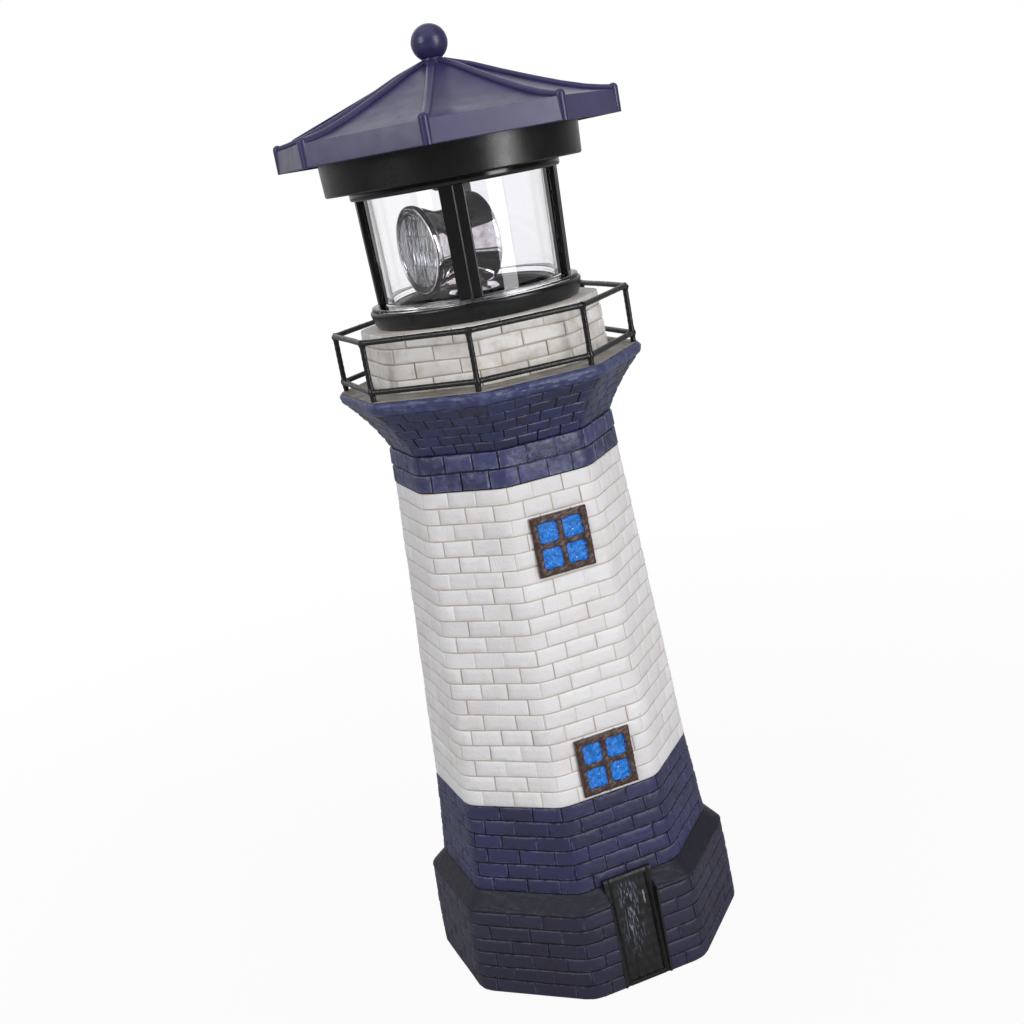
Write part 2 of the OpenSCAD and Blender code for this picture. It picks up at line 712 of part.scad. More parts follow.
module lamp_barrel() {
  color("#b9bcc2") about_beam([[barrel_bore_r, lens_seat_l - half_barrel], [lens_seat_r, lens_seat_l - half_barrel],
    [lens_seat_r, -half_barrel], [rim_r, -half_barrel], [rim_r, rim_l - half_barrel],
    [barrel_r, rim_l + rim_taper - half_barrel], [barrel_r, half_barrel - rim_l - rim_taper],
    [rim_r, half_barrel - rim_l], [rim_r, half_barrel],
    [lens_seat_r, half_barrel], [lens_seat_r, half_barrel - lens_seat_l], [barrel_bore_r, half_barrel - lens_seat_l]]);
}

// Half of the lamp seen from the barrel's middle, way is +1 to the front
module lens_of(way) {
  color("#e8eef2", 0.5) in_beacon() translate([barrel_shift, 0, 0]) rotate([0, way * 90, 0])
    turned([[0, half_barrel - lens_seat_l + 0.02], [lens_seat_r - 0.03, half_barrel - lens_seat_l + 0.02],
      [lens_seat_r - 0.03, half_barrel - 0.4], [lens_seat_r * 0.72, half_barrel + 0.15], [lens_seat_r * 0.38, half_barrel + 0.5],
      [0, half_barrel + 0.6]]);
}

module beam_lens_front() {
  lens_of(1);
}

module beam_lens_rear() {
  lens_of(-1);
}

// Reflector bowl between the circuit board and the lens
module reflector_of(way) {
  mouth = half_barrel - lens_seat_l;
  color("#d5d8dc") in_beacon() translate([barrel_shift, 0, 0]) rotate([0, way * 90, 0])
    turned([[led_r + 0.15, board_t / 2], [led_r + 1, board_t / 2], [barrel_bore_r - 1.2, mouth * 0.55],
      [barrel_bore_r - 0.03, mouth - 0.6], [barrel_bore_r - 0.03, mouth - 0.02], [barrel_bore_r - 0.7, mouth - 0.02],
      [barrel_bore_r - 2, mouth * 0.55], [led_r + 0.15, board_t / 2 + 0.8]]);
}

module reflector_front() {
  reflector_of(1);
}

module reflector_rear() {
  reflector_of(-1);
}

module led_board() {
  color("#2f6b3c") about_beam([[0, -board_t / 2], [barrel_bore_r - 0.03, -board_t / 2],
    [barrel_bore_r - 0.03, board_t / 2], [0, board_t / 2]]);
}

module led_of(way) {
  color("#f4f1e2") in_beacon() translate([barrel_shift, 0, 0]) rotate([0, way * 90, 0])
    turned([[0, board_t / 2], [led_r, board_t / 2], [led_r, board_t / 2 + 2.6], [led_r * 0.8, board_t / 2 + 3.9],
      [led_r * 0.4, board_t / 2 + 4.5], [0, board_t / 2 + 4.7]]);
}

module led_front() {
  led_of(1);
}

module led_rear() {
  led_of(-1);
}

module slip_rings() {
  color("#c79a4b") rotate([0, 0, unit_turn]) for (k = [0:1])
    translate([0, 0, spindle_foot_z + 0.8 + k * (slip_ring_w + 0.6)]) difference() {
      cylinder(h = slip_ring_w, r = slip_ring_r);
      translate([0, 0, -1]) cylinder(h = slip_ring_w + 2, r = spindle_r + 0.01);
    }
}

// ---------------------------------------------------------------- gears

// Straight-sided teeth, with the first one centred on direction phase
module gear(teeth, bore_r, phase, height) {
  pitch = 360 / teeth;
  root_r = gear_module * (teeth / 2 - 1.2);
  tip_r = gear_module * (teeth / 2 + 0.9);
  outline = [for (i = [0:teeth - 1]) let (a = i * pitch + phase)
    each [root_r * [cos(a - 0.3 * pitch), sin(a - 0.3 * pitch)], tip_r * [cos(a - 0.1 * pitch), sin(a - 0.1 * pitch)],
      tip_r * [cos(a + 0.1 * pitch), sin(a + 0.1 * pitch)], root_r * [cos(a + 0.3 * pitch), sin(a + 0.3 * pitch)]]];
  difference() {
    linear_extrude(height = height) polygon(outline);
    translate([0, 0, -1]) cylinder(h = height + 2, r = bore_r);
  }
}

module output_gear() {
  color("#efeee8") in_unit() translate([0, 0, upper_gear_z]) gear(wheel_teeth, spindle_r + 0.01, idler_dir, gear_w);
}

module idler_gear() {
  color("#efeee8") in_unit() translate([idler_x, idler_y, lower_gear_z]) {
    gear(wheel_teeth, axle_r + shaft_gap, motor_dir, gear_w);
    gear(pinion_teeth, axle_r + shaft_gap, idler_dir + 180 + 180 / pinion_teeth, 2 * gear_w + gear_gap);
  }
}

module idler_axle() {
  color("#c0c4c8") in_unit() translate([idler_x, idler_y, 0]) rod(axle_r, plate_z, well_under_z);
}

module motor_pinion() {
  color("#efeee8") in_unit() translate([motor_x, motor_y, lower_gear_z])
    gear(pinion_teeth, axle_r, motor_dir + 180 + 180 / pinion_teeth, gear_w);
}

module motor_shaft() {
  color("#c0c4c8") in_unit() translate([motor_x, motor_y, 0])
    rod(axle_r - 0.01, plate_z - motor_l / 2, lower_gear_z + gear_w);
}

module motor() {
  color("#b4b8bc") in_unit() translate([motor_x, motor_y, 0]) difference() {
    union() {
      intersection() {
        rod(motor_r, plate_z - motor_l, plate_z);
        translate([-motor_r, -0.8 * motor_r, plate_z - motor_l - 1]) cube([2 * motor_r, 1.6 * motor_r, motor_l + 2]);
      }
      rod(2.4, plate_z - 0.5, plate_z + plate_t - 0.2);
      rod(2.6, plate_z - motor_l - 1.4, plate_z - motor_l + 0.5);
    }
    rod(axle_r + shaft_gap, plate_z - motor_l / 2 - 0.5, plate_z + plate_t + 1);
  }
}

module gear_plate() {
  plate_r = housing_in_r - 1;
  color("#dcdad2") in_unit() difference() {
    rod(plate_r, plate_z, plate_z + plate_t);
    rod(spindle_r + shaft_gap, plate_z - 1, plate_z + plate_t + 1);
    translate([idler_x, idler_y, 0]) rod(axle_r + 0.01, plate_z - 1, plate_z + plate_t + 1);
    translate([motor_x, motor_y, 0]) rod(2.45, plate_z - 1, plate_z + plate_t + 1);
    for (dir = plate_post_dirs) at_polar(plate_post_ring, dir) rod(screw_r + 0.1, plate_z - 1, plate_z + plate_t + 1);
    rotate([0, 0, post_turn - 90]) translate([duct_exit_r - 2.2, -2, plate_z - 1]) cube([10, 4, plate_t + 2]);
  }
}

module plate_screws() {
  color("#8d9096") in_unit() for (dir = plate_post_dirs) at_polar(plate_post_ring, dir) {
    rod(screw_r, plate_z - 0.2, plate_z + plate_t + screw_l);
    rod(2 * screw_r, plate_z - 1.4 * screw_r, plate_z);
  }
}

// Two carbon brushes in a block that hangs under the gear plate
module brush_block() {
  brush_gap = 0.3;
  block_y = slip_ring_r + 3.4;
  block_h = plate_z - spindle_foot_z;
  color("#26262a") in_unit() {
    translate([-3, block_y, spindle_foot_z]) cube([6, 3, block_h]);
    for (k = [0:1]) translate([-0.8, slip_ring_r + brush_gap, spindle_foot_z + 0.8 + k * (slip_ring_w + 0.6) + 0.1])
      cube([1.6, block_y - slip_ring_r, slip_ring_w - 0.2]);
  }
}

// ---------------------------------------------------------------- electrics

module at_battery() {
  in_unit() translate([battery_x, battery_y, 0]) children();
}

module battery_cell() {
  color("#2f7a4a") at_battery() {
    rod(battery_r, battery_foot_z, battery_top_z - 1.2);
    rod(2.6, battery_top_z - 1.3, battery_top_z);
  }
}

holder_top_z = battery_top_z + 0.5;
// A can with one side left open, to slip the cell in
module battery_holder() {
  holder_r = battery_r + 0.2 + holder_wall;
  inside_z = cover_in_z + holder_wall;
  inside_h = holder_top_z - inside_z;
  color("#1d1d20") at_battery() difference() {
    rod(holder_r, cover_in_z, holder_top_z + holder_wall);
    rod(battery_r + 0.2, inside_z, holder_top_z);
    translate([battery_r * 0.3, -holder_r - 1, inside_z]) cube([holder_r + 2, 2 * holder_r + 2, inside_h]);
  }
}

// Conical contact spring under the cell, as the cup it fills when compressed
module battery_spring() {
  color("#c6c9cc") at_battery() turned([[1.4, cover_in_z + holder_wall], [5.2, cover_in_z + holder_wall],
    [3.4, battery_foot_z], [2.6, battery_foot_z]]);
}

module battery_plate() {
  color("#c6c9cc") at_battery() translate([-3, -3, battery_top_z]) cube([6, 6, 0.5]);
}

module circuit_board() {
  chip_t = 1.6;
  color("#2c6a45") in_unit() {
    translate([-board_w / 2, board_y, board_z]) cube([board_w, board_t, board_h]);
    translate([-5, board_y - chip_t, board_z + 14]) cube([5, chip_t + 0.1, 6]);
    translate([4, board_y - 2.4, board_z + 20]) cube([3.4, 2.5, 3.4]);
    translate([-11, board_y - 3, board_z + 25]) cube([4.4, 3.1, 4.4]);
    for (side = [-1, 1]) translate([side * (board_w / 2 - 2) - 1.5, board_y, cover_in_z]) cube([3, board_t, board_z - cover_in_z + 1]);
  }
}

knob_slot_x = knob_w + switch_travel + 0.6;
module switch_body() {
  body_h = 3.6;
  color("#303236") in_unit() translate([switch_x, switch_y, cover_in_z]) difference() {
    translate([-switch_w / 2, -switch_d / 2, 0]) cube([switch_w, switch_d, body_h]);
    translate([-knob_slot_x / 2, -knob_d / 2 - 0.3, -1]) cube([knob_slot_x, knob_d + 0.6, 2.6]);
  }
}

module switch_knob() {
  color("#d8d8d4") in_unit() translate([switch_x - switch_travel / 2 - knob_w / 2, switch_y - knob_d / 2, cover_z - 1.6])
    cube([knob_w, knob_d, cover_t + 1.6 + 1.3]);
}

module housing_cover() {
  color("#18181a") in_unit() difference() {
    rod(housing_r, cover_z, cover_in_z);
    for (dir = cover_post_dirs) at_polar(cover_post_ring, dir) rod(screw_r + 0.1, cover_z - 1, cover_in_z + 1);
    translate([switch_x - knob_slot_x / 2, switch_y - knob_d / 2 - 0.3, cover_z - 1])
      cube([knob_slot_x, knob_d + 0.6, cover_t + 2]);
  }
}

module cover_screws() {
  color("#8d9096") in_unit() for (dir = cover_post_dirs) at_polar(cover_post_ring, dir) {
    rod(screw_r, cover_z - 0.1, cover_in_z + screw_l);
    rod(2 * screw_r, cover_z - 1.3 * screw_r, cover_z);
  }
}

// Two leads from the middle solar panel down the front post to the board
module panel_leads() {
  way = post_turn - 90;
  out = [cos(way), sin(way), 0];
  across = [-sin(way), cos(way), 0];
  slant = [0.8, -0.6, 0];
  low = collar_floor_z + 3;
  color("#b23a2e") in_unit() for (side = [-1, 1]) let (
      start = [0.6 * side, lead_hole_y, facet_z(lead_hole_y) - 0.05],
      behind = [-14, 10, low] + side * slant,
      beside = [-17, 3, low] + side * slant,
      above = duct_high_r * out + lead_pitch * side * across + [0, 0, collar_floor_z + 1],
      foot = duct_low_r * out + lead_pitch * side * across + [0, 0, duct_foot_z],
      knee = duct_knee_r * out + lead_pitch * side * across + [0, 0, duct_knee_z],
      exit = duct_exit_r * out + lead_pitch * side * across + [0, 0, duct_exit_z],
      board = [1.4 * side - 2.5, board_y - lead_gap, board_z + 30])
    lead(concat(bezier(start, start - [0, 0, 8], behind + [6, 14, 0], behind, 8),
        bezier(beside, beside + [-3, -8, 0], above + [0, 0, 5], above, 8),
        [for (t = [0.25:0.25:1]) above + t * (foot - above)],
        [for (t = [0.5, 1]) foot + t * (knee - foot)],
        [for (t = [0.5, 1]) knee + t * (exit - knee)],
        bezier(exit - [0, 0, 2], exit - [0, 0, 9], board - [0, 22, 2], board, 10)),
      side_way = [0.9, 0.25, 0.37]);
}

// Leads of the motor, battery, brushes and switch to the board
module drive_leads() {
  face = board_y - lead_gap;
  motor_back = plate_z - motor_l - 1.4 - lead_gap;
  brush_back = slip_ring_r + 6.4 + lead_gap;
  color("#30343c") in_unit() {
    for (side = [-1, 1]) {
      lead(bezier([motor_x + 1.3 * side, motor_y, motor_back], [motor_x + 1.3 * side, motor_y, motor_back - 5],
        [9 + 1.3 * side, face - 9, board_z + 32], [9 + 1.3 * side, face, board_z + 32]), side_way = [1, 0, 0.1]);
      lead(bezier([1.2 * side, brush_back, spindle_foot_z + 3], [1.2 * side, brush_back + 4, spindle_foot_z + 3],
        [1.2 * side + 1, face - 6, board_z + 28], [1.2 * side + 1, face, board_z + 27], 8), side_way = [1, 0, 0.1]);
      lead(bezier([switch_x + 2.4 * side, switch_y + switch_d / 2 + lead_gap, cover_in_z + 2.2],
        [switch_x + 2.4 * side, switch_y + 6, cover_in_z + 2.2],
        [switch_x - 3 + 2 * side, face - 5, board_z + 4], [switch_x - 3 + 2 * side, face, board_z + 4], 8), side_way = [1, 0, 0.1]);
    }
    lead(bezier([battery_x + 3, battery_y + 3 + lead_gap, battery_top_z - 0.2], [battery_x + 4, battery_y + 14, battery_top_z + 0.6],
      [-10, face - 6, board_z + 32], [-10, face, board_z + 31], 8), side_way = [1, 0, 0.1]);
    lead(bezier([battery_x + 5.2, battery_y + 2, cover_in_z + holder_wall + 1], [battery_x + 9, battery_y + 6, cover_in_z + holder_wall + 2],
      [-4, face - 6, board_z + 3], [-4, face, board_z + 3], 8), side_way = [1, 0, 0.1]);
  }
}

// ---------------------------------------------------------------- assembly

tower();
top_rail();
bottom_rail();
rail_posts();
lantern_base();
lantern_cage();
lens_cylinder();
spindle_bush();
collar_housing();
roof_shell();
ball_finial();
solar_panels();
roof_screws();
lip_screws();
beacon_spindle();
turntable();
lamp_barrel();
beam_lens_front();
beam_lens_rear();
reflector_front();
reflector_rear();
led_board();
led_front();
led_rear();
slip_rings();
output_gear();
gear_plate();
plate_screws();
idler_axle();
idler_gear();
motor();
motor_shaft();
motor_pinion();
brush_block();
battery_cell();
battery_holder();
battery_spring();
battery_plate();
circuit_board();
switch_body();
switch_knob();
housing_cover();
cover_screws();
panel_leads();
drive_leads();
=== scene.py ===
"""Looks of a solar garden lighthouse: cast and painted brick tower, wire railing, clear lantern with a turning chrome
lamp, plastic roof.

Lengths are millimetres in the frame of the CAD part: Z up, origin in the middle of the base, door towards -Y.
"""

import logging
import math
from dataclasses import dataclass, field
from enum import Enum

import bmesh
import bpy
import numpy as np
from mathutils import Matrix, Vector

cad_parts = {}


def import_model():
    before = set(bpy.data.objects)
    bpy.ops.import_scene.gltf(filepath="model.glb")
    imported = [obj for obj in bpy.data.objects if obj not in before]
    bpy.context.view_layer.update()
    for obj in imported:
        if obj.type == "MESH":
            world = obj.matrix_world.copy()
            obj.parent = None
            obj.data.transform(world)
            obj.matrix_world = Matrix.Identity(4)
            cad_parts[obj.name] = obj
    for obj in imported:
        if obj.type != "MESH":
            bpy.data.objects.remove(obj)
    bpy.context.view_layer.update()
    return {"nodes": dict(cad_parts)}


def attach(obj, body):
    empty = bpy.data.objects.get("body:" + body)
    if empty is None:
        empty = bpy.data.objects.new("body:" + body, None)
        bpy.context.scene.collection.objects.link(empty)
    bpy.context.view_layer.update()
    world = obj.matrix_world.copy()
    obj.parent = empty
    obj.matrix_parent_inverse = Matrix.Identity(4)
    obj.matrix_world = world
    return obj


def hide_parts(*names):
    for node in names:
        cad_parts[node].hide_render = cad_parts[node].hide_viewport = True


log = logging.getLogger("lighthouse")

MM = 0.001
HALF_SIDE = math.radians(22.5)
SIDES = 8
UNIT_TURN = math.radians(-2.5)
RAIL_TURN = math.radians(-1.7)
SMOOTH_ANGLE = math.radians(38)
MERGE_MM = 1e-4


@dataclass(frozen=True)
class Role:
    """What a piece stands for: the body that it rides, the CAD node that it replaces, and its colour slot."""

    body: str
    node: str
    slot: str


# ---------------------------------------------------------------- meshes


class Shell:
    """Gathers grids of points into one mesh, each with its own material number and point attributes."""

    def __init__(self) -> None:
        """Starts with no points and no faces."""
        self.points: list[np.ndarray] = []
        self.faces: list[np.ndarray] = []
        self.slots: list[np.ndarray] = []
        self.values: dict[str, list[np.ndarray]] = {}
        self.count = 0

    def _add_points(self, points: np.ndarray, values: dict[str, np.ndarray]) -> int:
        """Adds points in millimetres with their attribute values.

        Args:
            points: Array whose last axis is x, y, z.
            values: One number per point for each attribute name.

        Returns:
            The number of the first added point.
        """
        flat = np.asarray(points, float).reshape(-1, 3)
        for name in set(self.values) | set(values):
            rows = self.values.setdefault(name, [np.zeros(self.count)] if self.count else [])
            given = values.get(name)
            rows.append(np.zeros(len(flat)) if given is None else np.broadcast_to(given, points.shape[:-1]).reshape(-1))
        first = self.count
        self.points.append(flat)
        self.count += len(flat)
        return first

    def grid(self, points: np.ndarray, wrap_u: bool = False, wrap_v: bool = False, flip: bool = False,
             slot: int | np.ndarray = 0, **values: np.ndarray) -> "Shell":
        """Adds a grid of quads; u runs along the second axis, v along the first, and u x v points outwards.

        Args:
            points: Array of shape (rows, columns, 3) in millimetres.
            wrap_u: Whether the last column joins the first.
            wrap_v: Whether the last row joins the first.
            flip: Whether the faces are turned over.
            slot: Material number of the faces, one for all or one for each cell.
            values: Point attributes.

        Returns:
            The shell itself.
        """
        rows, columns = points.shape[:2]
        first = self._add_points(points, values)
        index = first + np.arange(rows * columns).reshape(rows, columns)
        if wrap_u:
            index = np.concatenate([index, index[:, :1]], axis=1)
        if wrap_v:
            index = np.concatenate([index, index[:1]], axis=0)
        quads = np.stack([index[:-1, :-1], index[:-1, 1:], index[1:, 1:], index[1:, :-1]], axis=-1).reshape(-1, 4)
        quads = quads[:, ::-1] if flip else quads
        self.faces.append(quads)
        self.slots.append(np.broadcast_to(np.asarray(slot).reshape(-1), len(quads)))
        return self

    def tube(self, path: np.ndarray, radii: np.ndarray | float, sides: int = 16, closed: bool = False,
             slot: int = 0, stretch: tuple[float, float] = (1.0, 1.0), **values: np.ndarray) -> "Shell":
        """Adds a round tube: a circle of the given radius carried along a path, square to it, and closed at its ends.

        Args:
            path: Points of the centreline, shape (n, 3).
            radii: Radius at each point.
            sides: Number of sides of the circle.
            closed: Whether the path is a loop.
            slot: Material number.
            stretch: Factors on the two half axes of the section.
            values: Point attributes, one number per path point.

        Returns:
            The shell itself.
        """
        path = np.asarray(path, float)
        radii = np.broadcast_to(np.asarray(radii, float), len(path))
        ahead, behind = (np.roll(path, -1, 0), np.roll(path, 1, 0)) if closed else (
            np.vstack([path[1:], path[-1:]]), np.vstack([path[:1], path[:-1]]))
        way = ahead - behind
        way /= np.linalg.norm(way, axis=1, keepdims=True)
        guide = np.where(np.abs(way[:, 2:]).mean() > 0.7, [[1.0, 0.0, 0.0]], [[0.0, 0.0, 1.0]])
        side = np.cross(guide, way)
        side /= np.linalg.norm(side, axis=1, keepdims=True)
        up = np.cross(way, side)
        angle = np.linspace(0, 2 * math.pi, sides, endpoint=False)[None, :, None]
        ring = np.cos(angle) * side[:, None] * stretch[0] + np.sin(angle) * up[:, None] * stretch[1]
        points = path[:, None] + radii[:, None, None] * ring
        values = {k: np.broadcast_to(np.asarray(v, float)[:, None], points.shape[:2]) for k, v in values.items()}
        if not closed:
            points = np.concatenate([points[:1] * 0 + path[0], points, points[-1:] * 0 + path[-1]])
            values = {k: np.concatenate([v[:1], v, v[-1:]]) for k, v in values.items()}
        return self.grid(points, wrap_u=True, wrap_v=closed, slot=slot, **values)

    def build(self, name: str, finishes: list["Finish"], role: Role, sharp: float = SMOOTH_ANGLE,
              turned: float = 0.0) -> bpy.types.Object:
        """Makes the object, in metres, with its place in its mesh, and puts it in its role.

        Args:
            name: Name of the object.
            finishes: Finishes in the order of the grids' material numbers.
            role: Its body, CAD node and slot.
            sharp: Angle above which an edge is shaded sharp.
            turned: Turn about Z of the whole shell, in radians.

        Returns:
            The new object.
        """
        points = np.concatenate(self.points)
        if turned:
            points = spin(points, turned)
        faces = np.concatenate(self.faces)
        mesh = bpy.data.meshes.new(name)
        mesh.vertices.add(len(points))
        mesh.vertices.foreach_set("co", (points * MM).astype(np.float32).ravel())
        mesh.loops.add(faces.size)
        mesh.loops.foreach_set("vertex_index", faces.astype(np.int32).ravel())
        mesh.polygons.add(len(faces))
        mesh.polygons.foreach_set("loop_start", np.arange(0, faces.size, 4, dtype=np.int32))
        mesh.polygons.foreach_set("material_index", np.concatenate(self.slots).astype(np.int32))
        mesh.update(calc_edges=True)
        for attribute, rows in self.values.items():
            layer = mesh.attributes.new(attribute, "FLOAT", "POINT")
            layer.data.foreach_set("value", np.concatenate(rows).astype(np.float32))
        work = bmesh.new()
        work.from_mesh(mesh)
        bmesh.ops.remove_doubles(work, verts=work.verts, dist=MERGE_MM * MM)
        bmesh.ops.dissolve_degenerate(work, edges=work.edges, dist=MERGE_MM * MM)
        work.to_mesh(mesh)
        work.free()
        mesh.validate()
        mesh.polygons.foreach_set("use_smooth", np.ones(len(mesh.polygons), dtype=bool))
        mesh.set_sharp_from_angle(angle=sharp)
        for finish in finishes:
            mesh.materials.append(finish.material())
        obj = bpy.data.objects.new(name, mesh)
        bpy.context.scene.collection.objects.link(obj)
        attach(obj, role.body)
        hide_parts(role.node)
        log.info("%s: %d faces", name, len(mesh.polygons))
        return obj


def rounded(corners: list[tuple[float, float, float]], closed: bool = False) -> np.ndarray:
    """A profile with its corners rounded: each corner becomes a quadratic curve that starts and ends its radius away.

    Args:
        corners: (radius or x, z, rounding) of each corner.
        closed: Whether the profile is a loop.

    Returns:
        Points of shape (n, 2).
    """
    steps = 5
    c = np.array([p[:2] for p in corners], float)
    r = np.array([p[2] for p in corners], float)
    before, after = np.roll(c, 1, 0) - c, np.roll(c, -1, 0) - c
    if not closed:
        r[0] = r[-1] = 0
    cut = [np.minimum(r, 0.49 * np.linalg.norm(d, axis=1))[:, None] * d / (np.linalg.norm(d, axis=1)[:, None] + 1e-12)
           for d in (before, after)]
    t = np.linspace(0, 1, steps)[None, :, None]
    curve = (1 - t) ** 2 * (c + cut[0])[:, None] + 2 * t * (1 - t) * c[:, None] + t ** 2 * (c + cut[1])[:, None]
    keep = np.where(r[:, None] > 0, True, np.arange(steps)[None] == 0)
    return curve[keep]


def lathe(profile: np.ndarray, columns: int) -> np.ndarray:
    """Points of a profile turned about Z: (r cos a, r sin a, z). A profile that goes up its outside faces outwards.

    Args:
        profile: Points (r, z).
        columns: Number of columns.

    Returns:
        Grid of shape (points, columns, 3).
    """
    angle = np.linspace(0, 2 * math.pi, columns, endpoint=False)[None]
    r, z = profile[:, :1], profile[:, 1:2]
    return np.stack([r * np.cos(angle), r * np.sin(angle), z + 0 * angle], axis=-1)


def spin(points: np.ndarray, angle: float) -> np.ndarray:
    """Points turned about Z by an angle: (x cos - y sin, x sin + y cos, z)."""
    c, s = math.cos(angle), math.sin(angle)
    return points @ np.array([[c, s, 0], [-s, c, 0], [0, 0, 1]])


def border(grid: np.ndarray) -> np.ndarray:
    """The outermost points of a grid as one loop, from its first point along its first row."""
    return np.concatenate([grid[0, :-1], grid[:-1, -1], grid[-1, :0:-1], grid[:0:-1, 0]])


def octagon(place: np.ndarray, corner_r: np.ndarray | float, rounding: float) -> tuple[np.ndarray, np.ndarray]:
    """Outline of an octagon with rounded corners, by distance along it.

    Whole numbers of place are the middles of the sides, side 0 to the front. The distance from a side's middle goes
    first along the straight part and then round an arc of the given radius about a centre inside the corner.

    Args:
        place: Place along the outline, in sides.
        corner_r: Radius of the sharp corner.
        rounding: Radius of the corners' arcs.

    Returns:
        Points (..., 2) and outward directions (..., 2).
    """
    side = np.round(place)
    t = place - side
    half = corner_r * math.sin(HALF_SIDE)
    straight = half - rounding * math.tan(HALF_SIDE)
    along = t * 2 * (straight + rounding * HALF_SIDE)
    bend = np.clip((np.abs(along) - straight) / rounding, 0, None)
    out = corner_r * math.cos(HALF_SIDE) - rounding * (1 - np.cos(bend))
    across = np.sign(along) * (np.minimum(np.abs(along), straight) + rounding * np.sin(bend))
    facing = side * 2 * HALF_SIDE - math.pi / 2
    normal = facing + np.sign(along) * bend
    xy = np.stack([out * np.cos(facing) - across * np.sin(facing), out * np.sin(facing) + across * np.cos(facing)], -1)
    return xy, np.stack([np.cos(normal), np.sin(normal)], -1)


def smoothstep(low: float, high: float, x: np.ndarray) -> np.ndarray:
    """0 below low, 1 above high, and 3t^2 - 2t^3 between."""
    t = np.clip((x - low) / (high - low), 0, 1)
    return t * t * (3 - 2 * t)


def waves(angle: np.ndarray, seed: int, count: int = 5) -> np.ndarray:
    """Smooth unevenness round a closed outline: a sum of sines of whole orders with seeded phases, about -1 to 1.

    Args:
        angle: Angle round the outline, in radians.
        seed: Seed of the phases and sizes.
        count: Number of orders, from 2 up.

    Returns:
        One number for each angle.
    """
    rng = np.random.default_rng(seed)
    orders = np.arange(2, 2 + count)
    phases = rng.uniform(0, 2 * math.pi, count)
    sizes = rng.uniform(0.5, 1.0, count) / orders ** 0.5
    return (sizes * np.sin(orders * angle[..., None] + phases)).sum(-1) / sizes.sum()


# ---------------------------------------------------------------- materials


def linear(colour: str) -> tuple[float, float, float, float]:
    """The linear RGBA value of an sRGB hex colour: below 0.04045 a straight line, above it a power of 2.4.

    Args:
        colour: The colour, such as #dcd9d8.

    Returns:
        Red, green, blue and an alpha of 1.
    """
    parts = np.array([int(colour[i:i + 2], 16) for i in (1, 3, 5)]) / 255
    parts = np.where(parts <= 0.04045, parts / 12.92, ((parts + 0.055) / 1.055) ** 2.4)
    return (*parts.tolist(), 1.0)


def node(tree: bpy.types.NodeTree, kind: str, settings: dict | None = None,
         inputs: dict | None = None) -> bpy.types.Node:
    """Adds one node with its settings and its inputs.

    Args:
        tree: The node tree.
        kind: The node's type name, without the leading "ShaderNode".
        settings: Attributes of the node.
        inputs: Value or output socket for each input, by name or number.

    Returns:
        The node.
    """
    made = tree.nodes.new("ShaderNode" + kind)
    for key, value in (settings or {}).items():
        setattr(made, key, value)
    for key, value in (inputs or {}).items():
        if isinstance(value, bpy.types.NodeSocket):
            tree.links.new(value, made.inputs[key])
        else:
            made.inputs[key].default_value = value
    return made


def multiply(tree: bpy.types.NodeTree, a: bpy.types.NodeSocket,
             b: bpy.types.NodeSocket | float) -> bpy.types.NodeSocket:
    """The product of two values."""
    return node(tree, "Math", {"operation": "MULTIPLY"}, {0: a, 1: b}).outputs[0]


def seen_or_through(tree: bpy.types.NodeTree) -> bpy.types.NodeSocket:
    """1 for camera rays and for rays that went through a clear piece, and 0 for the rest."""
    path = node(tree, "LightPath").outputs
    return node(tree, "Math", {"operation": "MAXIMUM"},
                {0: path["Is Camera Ray"], 1: path["Is Transmission Ray"]}).outputs[0]


class Sheen(Enum):
    """How a moulded surface left its tool, as a roughness."""

    GLOSS = 0.16
    SEMI = 0.33
    SATIN = 0.29
    MATT = 0.55


